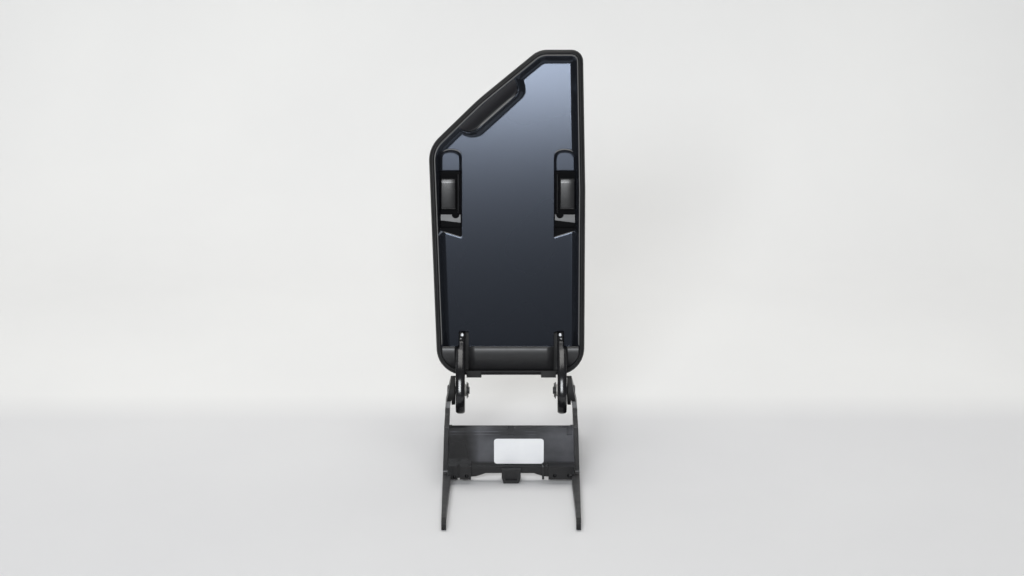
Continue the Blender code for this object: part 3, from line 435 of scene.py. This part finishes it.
def skin(rings, cap_first=True, cap_last=True):
    """A tube of faces through rings of equally many points, closed at either end."""
    count = len(rings[0])
    verts = [p for ring in rings for p in ring]
    faces = []
    for r in range(len(rings) - 1):
        a = r * count
        b = a + count
        for k in range(count):
            k2 = (k + 1) % count
            faces.append((a + k, a + k2, b + k2, b + k))
    if cap_first:
        faces.append(tuple(reversed(range(count))))
    if cap_last:
        start = (len(rings) - 1) * count
        faces.append(tuple(range(start, start + count)))
    return verts, faces


def crown_rings(base, depth_edge, crown):
    """Rings from a base ring in to a spine, rising gently to a crown."""
    spine_low = np.array((-2.0, 82.0))
    spine_high = np.array((6.0, 268.0))
    axis = spine_high - spine_low
    rings = []
    points = np.array([(p[0], p[1]) for p in base])
    rel = (points - spine_low) @ axis / (axis @ axis)
    targets = spine_low + np.clip(rel, 0.0, 1.0)[:, None] * axis
    for f in (0.12, 0.26, 0.42, 0.58, 0.74, 0.88, 0.97):
        mixed = points + (targets - points) * f
        depth = depth_edge + crown * math.sin(f * math.pi / 2)
        rings.append([(x, w, RIM_N - depth) for x, w in mixed])
    return rings


def make_pad():
    """The leather-wrapped pad, crowned on top and turned in under the panel's rim."""
    top = LID_T
    profile = [(24.0, top + 0.1), (19.0, top - 0.15), (14.0, top - 0.7), (10.4, top - 1.6),
               (7.4, top - 2.8), (5.0, top - 4.5), (3.1, top - 6.6), (1.8, top - 9.2),
               (0.9, top - 12.0), (0.3, top - 15.2), (0.0, top - 18.5), (0.0, top - 22.0),
               (0.0, 11.0), (0.1, 8.0), (0.4, 5.4), (0.9, 3.2), (1.7, 1.7), (2.8, 0.8),
               (3.9, 0.45), (4.7, 0.6), (5.0, 1.2), (5.0, 2.0)]
    rings = [even_ring(i, t) for i, t in profile]
    centre = crown_rings(rings[0], top + 0.1, 2.4)
    verts, faces = skin(list(reversed(centre)) + rings, cap_first=True, cap_last=False)
    count = len(rings[0])
    inner = [even_ring(i, t) for i, t in ((3.4, 2.35), (2.4, 3.9), (1.8, 6.2), (1.7, 12.0), (1.9, 20.3))]
    offset = len(verts)
    more, more_faces = skin(inner, cap_first=False, cap_last=True)
    verts += more
    faces += [tuple(offset + k for k in f) for f in more_faces]
    last = offset - count
    for k in range(count):
        k2 = (k + 1) % count
        faces.append((last + k, last + k2, offset + k2, offset + k))
    pad = new_piece("leather_pad", verts, faces, LEATHER, "lid", ("leather_cover", "foam_pad"))


def signed(points, polygon):
    """Signed distance of points to a polygon, positive inside, in millimetres."""
    poly = np.asarray(polygon)
    best = np.full(len(points), 1e9)
    inside = np.zeros(len(points), dtype=bool)
    for k in range(len(poly)):
        a = poly[k - 1]
        b = poly[k]
        ab = b - a
        ap = points - a
        f = np.clip((ap @ ab) / (ab @ ab), 0.0, 1.0)
        best = np.minimum(best, np.hypot(*(ap - f[:, None] * ab).T))
        crosses = (a[1] > points[:, 1]) != (b[1] > points[:, 1])
        if abs(ab[1]) > 1e-9:
            at = a[0] + (points[:, 1] - a[1]) * ab[0] / ab[1]
            inside ^= crosses & (points[:, 0] < at)
    return np.where(inside, best, -best)


def soft_min(a, b, k):
    """The smaller of two values, blended over a width k where they meet."""
    h = np.clip(0.5 + 0.5 * (b - a) / k, 0.0, 1.0)
    return b + (a - b) * h - k * h * (1.0 - h)


def soft_max(a, b, k):
    return -soft_min(-a, -b, k)


def pocket_outline(side, drop=0.0):
    """A latch pocket: slanted lower edge, moved down by a drop, and a rounded top."""
    s =1.0 if side == "left" else -1.0
    xc = POCKET_X[side]
    half = POCKET_HALF
    points = [(xc - s * half, POCKET_OUT_W - drop), (xc + s * half, POCKET_IN_W - drop)]
    for sign, start in ((1.0, 0), (-1.0, 90)):
        for k in range(9):
            angle = math.radians(start + 90 * k / 8)
            points.append((xc + s * (sign * (half - POCKET_ROUND) + POCKET_ROUND * math.cos(angle)),
                           POCKET_TOP_W - POCKET_ROUND + POCKET_ROUND * math.sin(angle)))
    return points


def above_slant(points, side):
    """Distance of points above the slanted lower edge of a pocket."""
    s = 1.0 if side == "left" else -1.0
    rise = POCKET_IN_W - POCKET_OUT_W
    length = math.hypot(2 * POCKET_HALF, rise)
    x = s * (points[:, 0] - POCKET_X[side]) + POCKET_HALF
    return ((points[:, 1] - POCKET_OUT_W) * 2 * POCKET_HALF - x * rise) / length


def rim_section(edge):
    """Depth of the rim bead, the recess wall and the floor, by the distance in from the outline."""
    step = 0.05
    blur = 0.34
    reach = 20
    places = np.arange(0.0, 40.0, step)
    shape = np.interp(places, [0.0, 5.4, 5.7, 6.2, 6.8, 7.4, 12.0, 13.6, 40.0],
                      [0.6, 0.6, 0.15, 0.05, 0.15, 0.8, 5.8, FLOOR_T, FLOOR_T])
    kernel = np.exp(-0.5 * (np.arange(-reach, reach + 1) * step / blur) ** 2)
    padded = np.pad(shape, reach, mode="edge")
    shape = np.convolve(padded, kernel / kernel.sum(), mode="valid")
    return np.interp(edge, places, shape)


def panel_depth(points):
    """Depth of the inner panel's face below the rim plane, at points in the lid's axes."""
    edge = signed(points, [(p[0], p[1]) for p in outline_ring(0.0, 0.0)])
    depth = rim_section(edge)
    to_crest = np.maximum(-signed(points, CREST), 0.0)
    to_base = np.maximum(signed(points, GRIP_BASE), 0.0)
    up = to_base / (to_base + to_crest + 1e-6)
    up = up * up * (1.7 - 0.7 * up)
    depth = depth + (np.minimum(GRIP_CREST_T, depth) - depth) * up
    inside = signed(points, CREST)
    scoop_steep, bead_steep = 8.0, 0.98
    scoop = np.minimum(GRIP_CREST_T + scoop_steep * inside, GRIP_CREST_T + bead_steep * (edge - 7.4))
    scoop = np.minimum(scoop, GRIP_SCOOP_T)
    depth = soft_max(depth, np.where(inside > -3.0, scoop, -9.0), 0.7)
    for side, xc in POCKET_X.items():
        s = 1.0 if side == "left" else -1.0
        inside = signed(points, pocket_outline(side, 6.0))
        over = above_slant(points, side)
        fall = 1.0 - (1.0 - np.clip(over / LOW_END_REACH, 0.0, 1.0)) ** 1.7
        slope = FLOOR_T + LOW_END_DROP * fall
        pocket = np.minimum(5.0 + 1.7 * inside, np.where(over > 0.0, slope, FLOOR_T + over))
        depth = soft_max(depth, pocket, 0.5)
        low = s * (points[:, 0] - xc) + WINDOW_HALF
        high = WINDOW_HALF - s * (points[:, 0] - xc)
        box = np.minimum(np.minimum(low, high),
                         np.minimum(points[:, 1] - WINDOW_LOW_W, WINDOW_TOP_W - points[:, 1]))
        window = np.minimum(9.0 + 9.0 * (box + 0.3), WINDOW_T)
        depth = np.where(box > -0.3, np.maximum(depth, window), depth)
    return depth


# The two slots at the panel's rear edge that the arms pass through
SLOT_EDGES = [-54.4, -44.2, 44.2, 54.4]
SLOT_W = 59.2
SNAP = 1.6


def grid_lines():
    """The panel's grid across and up: fine where it curves, with lines on the slots' edges."""
    fine = 0.85
    x = list(np.arange(-82.0, 74.0, fine))
    w = [SPLIT_W, 44.5, 45.6, 47.2, 49.6, 53.0, SLOT_W, 60.6]
    w += list(np.arange(63.0, 150.0, 3.0)) + list(np.arange(150.0, 348.0, fine))
    x += SLOT_EDGES
    x = np.unique(np.round(x, 3))
    close = [k for k in range(len(x)) if any(abs(x[k] - e) < 0.3 and x[k] != e
                                             for e in SLOT_EDGES)]
    return np.delete(x, close), np.array(w)


def ribbon(line, width, depth):
    """A slim rounded strip along a line on the panel's face, tapered at both ends, that carries a painted
    highlight.
    """
    verts = []
    faces = []
    last = len(line) - 1
    for k, (x, w) in enumerate(line):
        along = np.array(line[min(k + 1, last)]) - np.array(line[max(k - 1, 0)])
        along = along / np.hypot(*along)
        half = 0.5 * width * min(1.0, 0.15 + 6.0 * min(k, last - k) / last)
        for j in range(5):
            u = j / 2.0 - 1.0
            verts.append((x + along[1] * half * u, w - along[0] * half * u,
                          RIM_N - depth - 0.3 * half * u * u))
    for k in range(last):
        for j in range(4):
            a = 5 * k + j
            faces.append((a, a + 1, a + 6, a + 5))
    return verts, faces


def edge_lines():
    """The panel's light edges, as strips of painted highlight: rim bead, grip crest, pocket tops and slanted
    pocket edges.
    """
    bead = ((5.45, 0.5), (5.6, 0.2), (5.85, 0.02), (6.15, -0.04), (6.45, 0.02), (6.7, 0.2), (6.85, 0.5))
    verts, faces = skin([even_ring(i, t) for i, t in bead], cap_first=False, cap_last=False)
    parts = [(verts, [f for f in faces if min(verts[k][1] for k in f) > SPLIT_W])]
    crest = np.linspace((-35.6, 269.5), (4.6, 305.0), 30)
    parts.append(ribbon([tuple(p) for p in crest], 1.9, GRIP_CREST_T - 0.1))
    for side, xc in POCKET_X.items():
        s = 1.0 if side == "left" else -1.0
        arch = []
        reach = POCKET_HALF - POCKET_ROUND
        radius = POCKET_ROUND + 0.1
        for k in range(33):
            f = k / 32
            angle = math.radians(162.0 - 130.0 * f)
            shift = reach * min(1.0, max(-1.0, 3.0 * (f - 0.5)))
            arch.append((xc + s * (shift + radius * math.cos(angle)),
                         POCKET_TOP_W - POCKET_ROUND + radius * math.sin(angle)))
        parts.append(ribbon(arch, 1.2, FLOOR_T - 0.14))
        slant = [(xc + s * POCKET_HALF * (2 * v - 1), POCKET_OUT_W + (POCKET_IN_W - POCKET_OUT_W) * v)
                 for v in np.linspace(0.12, 1.0, 20)]
        parts.append(ribbon(slant, 1.1, FLOOR_T - 0.05))
    return parts


def face_finish(x, w):
    """Which finish a spot of the panel has: 0 smooth, 2 the grip's scoop, 3 a pocket's low end, darkened as
    painted shade.
    """
    spot = np.array([(x, w)])
    inside_bead = [(p[0], p[1]) for p in outline_ring(7.6, 0.0)]
    if signed(spot, CREST)[0] > 0.8 and signed(spot, inside_bead)[0] > 0:
        return 2
    for side in POCKET_X:
        in_pocket = signed(spot, pocket_outline(side))[0] > 0.3
        if w < LOW_END_TOP_W and above_slant(spot, side)[0] > 0.9 and in_pocket:
            return 3
    return 0


def snapped(points, ring, inset):
    """The points, with those just outside the ring moved onto it; the rear edge stays straight."""
    moved = points.copy()
    for k in np.where((inset < 0.0) & (inset > -SNAP))[0]:
        best = None
        for j in range(len(ring)):
            a = ring[j - 1]
            ab = ring[j] - a
            f = min(1.0, max(0.0, float((points[k] - a) @ ab / (ab @ ab + 1e-12))))
            spot = a + f * ab
            gap = float(np.hypot(*(points[k] - spot)))
            if best is None or gap < best[0]:
                best = (gap, spot)
        moved[k] = best[1]
        if points[k][1] <= SPLIT_W + 0.01:
            moved[k][1] = SPLIT_W
    return moved


def near_detail(x, w):
    """Whether a spot of the panel is near the grip or a pocket's low end."""
    return (x < 12.0 and w > 258.0) or (abs(x) > 40.0 and 155.0 < w < 170.0)


def fold_border(mesh):
    """Fold the open border of the panel's face down into a short lip."""
    bm = bmesh.new()
    bm.from_mesh(mesh)
    bmesh.ops.dissolve_degenerate(bm, dist=0.02 * MM, edges=bm.edges)
    border = [e for e in bm.edges if e.is_boundary]
    lip = bmesh.ops.extrude_edge_only(bm, edges=border)
    down = Vector(to_world(0, 0, -2.4)) - Vector(to_world(0, 0, 0))
    for v in lip["geom"]:
        if isinstance(v, bmesh.types.BMVert):
            v.co += down
    bmesh.ops.recalc_face_normals(bm, faces=bm.faces)
    up = Vector(to_world(0, 0, 1)) - Vector(to_world(0, 0, 0))
    if sum(f.normal.dot(up) * f.calc_area() for f in bm.faces) < 0:
        bmesh.ops.reverse_faces(bm, faces=bm.faces)
    bm.to_mesh(mesh)
    bm.free()
    shade_smooth(mesh)


def make_inner_panel():
    """The recessed panel as one fine surface, with fillets at the rim, grip and pockets."""
    xs, ws = grid_lines()
    gx, gw = np.meshgrid(xs, ws)
    points = np.column_stack([gx.ravel(), gw.ravel()])
    ring = np.array([(p[0], p[1]) for p in outline_ring(PANEL_IN, 0.0, steps=24)])
    inset = signed(points, ring)
    moved = snapped(points, ring, inset)
    depth = panel_depth(moved)
    columns = len(xs)
    keep = {}
    verts = []
    faces = []
    finish = []

    def vertex(index):
        if index not in keep:
            keep[index] = len(verts)
            verts.append((moved[index][0], moved[index][1], RIM_N - depth[index]))
        return keep[index]

    for r in range(len(ws) - 1):
        for c in range(columns - 1):
            start = r * columns + c
            quad = (start, start + 1, start + columns + 1, start + columns)
            values = inset[list(quad)]
            if values.max() <= 0.0 or values.min() <= -SNAP:
                continue
            middle = (xs[c] + xs[c + 1]) / 2
            if SLOT_EDGES[2] < abs(middle) < SLOT_EDGES[3] and ws[r + 1] <= SLOT_W + 0.01:
                continue
            faces.append(tuple(vertex(q) for q in quad))
            detail = near_detail(middle, ws[r])
            finish.append(face_finish(middle, (ws[r] + ws[r + 1]) / 2) if detail else 0)
    # The edge strips take the second finish, their painted highlight.
    for more, more_faces in edge_lines():
        offset = len(verts)
        verts += more
        faces += [tuple(offset + k for k in f) for f in more_faces]
        finish += [1] * len(more_faces)
    obj = new_piece("inner_panel_face", verts, faces, PANEL, "lid", ("inner_panel",))
    for material in (EDGE_HIGHLIGHT, SCOOP, DEEP):
        obj.data.materials.append(material)
    for polygon, index in zip(obj.data.polygons, finish):
        polygon.material_index = index
    fold_border(obj.data)


def smooth_loop(points, steps):
    """Catmull-Rom through an open run of points."""
    made = []
    for k in range(len(points) - 1):
        p0 = Vector(points[max(0, k - 1)])
        p1 = Vector(points[k])
        p2 = Vector(points[k + 1])
        p3 = Vector(points[min(len(points) - 1, k + 2)])
        for j in range(steps):
            t = j / steps
            made.append(0.5 * ((2 * p1) + (p2 - p0) * t + (2 * p0 - 5 * p1 + 4 * p2 - p3) * t * t
                               + (3 * p1 - p0 - 3 * p2 + p3) * t * t * t))
    made.append(Vector(points[-1]))
    return made


def offset_outline(poly, amount):
    """A closed outline with each of its points moved sideways by an amount."""
    count = len(poly)
    made = []
    for k in range(count):
        before = poly[k] - poly[k - 1]
        after = poly[(k + 1) % count] - poly[k]
        n1 = np.array((before[1], -before[0])) / (np.hypot(*before) + 1e-9)
        n2 = np.array((after[1], -after[0])) / (np.hypot(*after) + 1e-9)
        out = n1 + n2
        out = out / max(0.6, 1.0 + float(n1 @ n2))
        made.append(poly[k] + out * amount)
    return made


def make_arm(side):
    """A goose-neck arm with rolled edges, on the same line as the CAD arm."""
    s = -1.0 if side == "left" else 1.0
    curve = [(58.8, -13.5), (56.5, -13.5), (54.2, -13.5), (52.0, -13.4), (50.4, -12.7), (48.5, -11.2),
             (45.0, -6.4), (41.0, -1.6), (35.5, 3.4), (28.0, 9.4), (21.0, 14.2), (14.0, 17.4),
             (6.0, 18.8), (-2.0, 19.8), (-9.0, 19.0), (-15.8, 16.0), (-21.2, 10.4), (-24.0, 3.5),
             (-24.0, -4.0), (-21.0, -10.8), (-15.4, -15.8), (-7.9, -18.2), (-0.5, -17.4),
             (5.2, -14.0), (9.2, -9.6), (12.4, -6.8), (16.4, -5.8), (20.0, -7.2), (22.4, -10.0),
             (23.2, -13.0)]
    root_n = -29.2
    outer = [(58.8, root_n)] + [tuple(p) for p in smooth_loop(curve, 4)] + [(23.2, root_n)]
    poly = np.array(outer)
    area = 0.5 * sum(poly[k - 1][0] * poly[k][1] - poly[k][0] * poly[k - 1][1] for k in range(len(poly)))
    inwards = -1.0 if area > 0 else 1.0
    rings = []
    low, high = 47.8, 57.1
    middle = (low + high) / 2
    slim_w, slim_x = 43.3, 54.0
    layers = 12
    for k in range(layers + 1):
        u = -math.cos(math.pi * k / layers)
        x = middle + u * (high - low) / 2
        inset = 2.3 * (1.0 - math.sqrt(1.0 - 0.94 * u * u))
        rings.append([(s * (min(x, slim_x) if w > slim_w else x), w, n)
                      for w, n in offset_outline(poly, inwards * inset)])
    verts, faces = skin(rings)
    arm = new_piece("hinge_arm_%s_neck" % side, verts, faces, ARM_PAINT, "lid",
                    ("hinge_arm_" + side,))
    cut_eye(arm, s)
    split = arm.modifiers.new("edges", "EDGE_SPLIT")
    split.split_angle = math.radians(42)


def cut_eye(arm, s):
    """Cut the hinge pin's eye through an arm."""
    sides = 48
    radius = 6.5
    turns = [2 * math.pi * k / sides for k in range(sides)]
    rings = [[to_world(x, radius * math.cos(a), radius * math.sin(a)) for a in turns]
             for x in (s * 30.0, s * 70.0)]
    verts, faces = skin(rings)
    mesh = bpy.data.meshes.new("eye")
    mesh.from_pydata(verts, [], faces)
    eye = add_object("eye", mesh)
    turn_faces_out(mesh)
    modifier = arm.modifiers.new("eye", "BOOLEAN")
    modifier.object = eye
    modifier.operation = "DIFFERENCE"
    modifier.solver = "EXACT"
    bpy.context.view_layer.update()
    graph = bpy.context.evaluated_depsgraph_get()
    result = bpy.data.meshes.new_from_object(arm.evaluated_get(graph))
    arm.modifiers.clear()
    arm.data = result
    bpy.data.objects.remove(eye, do_unlink=True)


def make_latch_block(side):
    """The latch slider with a sloping lip and rolled edges."""
    s = 1.0 if side == "left" else -1.0
    xc = POCKET_X[side]
    low, high = 186.3, 218.3
    face = 5.6
    back = 12.1
    line = [(low, back), (low, face + 1.6), (low + 0.15, face + 0.95), (low + 0.6, face + 0.4),
            (low + 1.3, face + 0.08), (low + 2.2, face), (213.6, face), (214.5, face), (214.8, face + 0.03),
            (215.1, face + 0.07), (216.0, face + 0.19), (217.0, face + 0.33), (217.5, face + 0.4),
            (217.8, face + 0.5), (218.05, face + 0.8), (218.2, face + 1.3), (high, face + 2.4), (high, back)]
    x_out = xc - s * 10.0
    x_in = xc + s * 5.2
    rounding = ((0.0, 1.0), (0.12, 0.5), (0.45, 0.15), (1.0, 0.0))
    span = [(x_out + s * move, lift) for move, lift in rounding]
    span += [(x_in - s * move, lift) for move, lift in reversed(rounding)]
    rings = []
    for x, lift in span:
        rings.append([(x, w, RIM_N - (t if t >= back else t + lift)) for w, t in line])
    verts, faces = skin(rings)
    block = new_piece("latch_block_" + side, verts, faces, LATCH, "latch_" + side,
                      ("latch_slider_" + side,))
    split = block.modifiers.new("edges", "EDGE_SPLIT")
    split.split_angle = math.radians(50)


def make_closeout():
    """The band over the arm roots: one rolled surface that follows the rim at its ends."""
    profile = [(43.6, 4.0), (43.6, 1.5), (43.3, 0.95), (42.7, 0.6), (41.6, 0.42), (39.6, 0.35), (37.0, 0.4),
               (34.6, 0.75), (32.4, 1.3), (30.2, 2.1), (28.0, 3.0), (25.8, 4.0), (23.8, 5.0),
               (22.0, 6.0), (20.8, 6.9), (20.1, 7.6), (19.8, 9.0)]
    ring = np.array([(p[0], p[1]) for p in outline_ring(PANEL_IN + 0.1, 0.0, steps=24)])
    verts = []
    faces = []
    rows = []
    columns = 12
    slot_in, slot_out = 44.2, 57.8
    for w, t in profile:
        crossing = []
        for k in range(len(ring)):
            a = ring[k - 1]
            b = ring[k]
            if (a[1] > w) != (b[1] > w):
                crossing.append(a[0] + (w - a[1]) * (b[0] - a[0]) / (b[1] - a[1]))
        rows.append((w, t, min(crossing), max(crossing)))
    for part in range(3):
        start = len(verts)
        for w, t, left, right in rows:
            span = ((left, -slot_out), (-slot_in, slot_in), (slot_out, right))[part]
            if span[1] < span[0]:
                span = ((left, left), (0.0, 0.0), (right, right))[part]
            for k in range(columns):
                verts.append((span[0] + (span[1] - span[0]) * k / (columns - 1), w, RIM_N - t))
        for r in range(len(rows) - 1):
            for k in range(columns - 1):
                a = start + r * columns + k
                faces.append((a, a + 1, a + columns + 1, a + columns))
    piece = new_piece("rear_closeout_face", verts, faces, SATIN, "lid", ("rear_closeout",))
    solid = piece.modifiers.new("wall", "SOLIDIFY")
    solid.thickness = 1.8 * MM
    solid.offset = 0.0


def make_room():
    """A pale floor that sweeps up into a wall, see-through from outside."""
    width = 6.0
    radius = 0.5
    back = 1.15
    profile = [(-3.4, 0.0), (-1.2, 0.0), (-0.4, 0.0), (0.2, 0.0), (back - radius, 0.0)]
    for k in range(1, 13):
        angle = math.radians(90 * k / 12)
        profile.append((back - radius + radius * math.sin(angle), radius - radius * math.cos(angle)))
    profile += [(back, 1.2), (back, 3.2)]
    verts = [(x, y, z) for y, z in profile for x in (-width / 2, width / 2)]
    faces = [(2 * k, 2 * k + 1, 2 * k + 3, 2 * k + 2) for k in range(len(profile) - 1)]
    mesh = bpy.data.meshes.new("room")
    mesh.from_pydata(verts, [], faces)
    shade_smooth(mesh)
    room = add_object("room", mesh)
    look = Look("room_white", (0.82, 0.82, 0.81), 0.9)
    parts = look.add("ShaderNodeSeparateXYZ")
    look.link(look.coords.outputs["Object"], parts.inputs["Vector"])
    # Lighter from the floor towards the wall: painted light. The noise adds random tone.
    back_part = look.spread(parts.outputs["Y"], 0.0, 0.7, 0.17, 0.25)
    tone = look.combine("ADD", back_part, look.spread(look.noise(2.2, 5.0), 0.0, 0.3))
    look.set("Base Color", look.ramp(tone, [(0.0, (0.69, 0.69, 0.70)), (1.0, (0.84, 0.84, 0.83))]))
    look.set("Roughness", look.spread(look.noise(8.0), 0.85, 0.95))
    mix = look.add("ShaderNodeMixShader")
    look.link(look.add("ShaderNodeNewGeometry").outputs["Backfacing"], mix.inputs["Fac"])
    look.link(look.shader.outputs["BSDF"], mix.inputs[1])
    look.link(look.add("ShaderNodeBsdfTransparent").outputs["BSDF"], mix.inputs[2])
    look.link(mix.outputs["Shader"], look.tree.nodes["Material Output"].inputs["Surface"])
    mesh.materials.append(look.material)


def area_light(name, place, target, size, power, colour):
    data = bpy.data.lights.new(name, "AREA")
    data.shape = "RECTANGLE"
    data.size, data.size_y = size
    data.energy = power
    data.color = colour
    light = add_object(name, data)
    light.location = place
    direction = Vector(target) - Vector(place)
    light.rotation_euler = direction.to_track_quat("-Z", "Y").to_euler()


def make_light():
    """A window in front, a soft ceiling, and a room tone that is brighter where the camera sees it."""
    world = bpy.data.worlds.new("room_light")
    world.use_nodes = True
    tree = world.node_tree
    background = tree.nodes["Background"]
    background.inputs["Color"].default_value = (0.97, 0.98, 1.0, 1.0)
    level = tree.nodes.new("ShaderNodeMapRange")
    level.inputs["To Min"].default_value = 0.12
    level.inputs["To Max"].default_value = 0.75
    tree.links.new(tree.nodes.new("ShaderNodeLightPath").outputs["Is Camera Ray"], level.inputs["Value"])
    tree.links.new(level.outputs["Result"], background.inputs["Strength"])
    bpy.context.scene.world = world
    area_light("window", (-0.4, -3.0, 1.62), (-0.4, 0.1, 0.25), (1.5, 0.64), 71.0, (0.95, 0.975, 1.0))
    area_light("ceiling", (-0.1, 0.4, 2.6), (-0.1, 0.3, 0.0), (2.0, 1.3), 36.0, (1.0, 0.985, 0.96))


def make_camera():
    """The photo's camera, solved from its perspective."""
    looking_down = 18.0
    data = bpy.data.cameras.new("camera")
    data.sensor_width = 36.0
    data.lens = 84.55
    camera = add_object("camera", data)
    camera.location = (0.000816, -2.2804, 0.9483)
    camera.rotation_euler = (math.radians(90.0 - looking_down), 0.0, 0.0)
    bpy.context.scene.camera = camera


make_camera()
make_room()
make_light()
dress_cad_nodes()
make_pad()
make_inner_panel()
make_closeout()
for lid_side in ("left", "right"):
    make_arm(lid_side)
    make_latch_block(lid_side)

bpy.context.scene.view_settings.view_transform = "Standard"
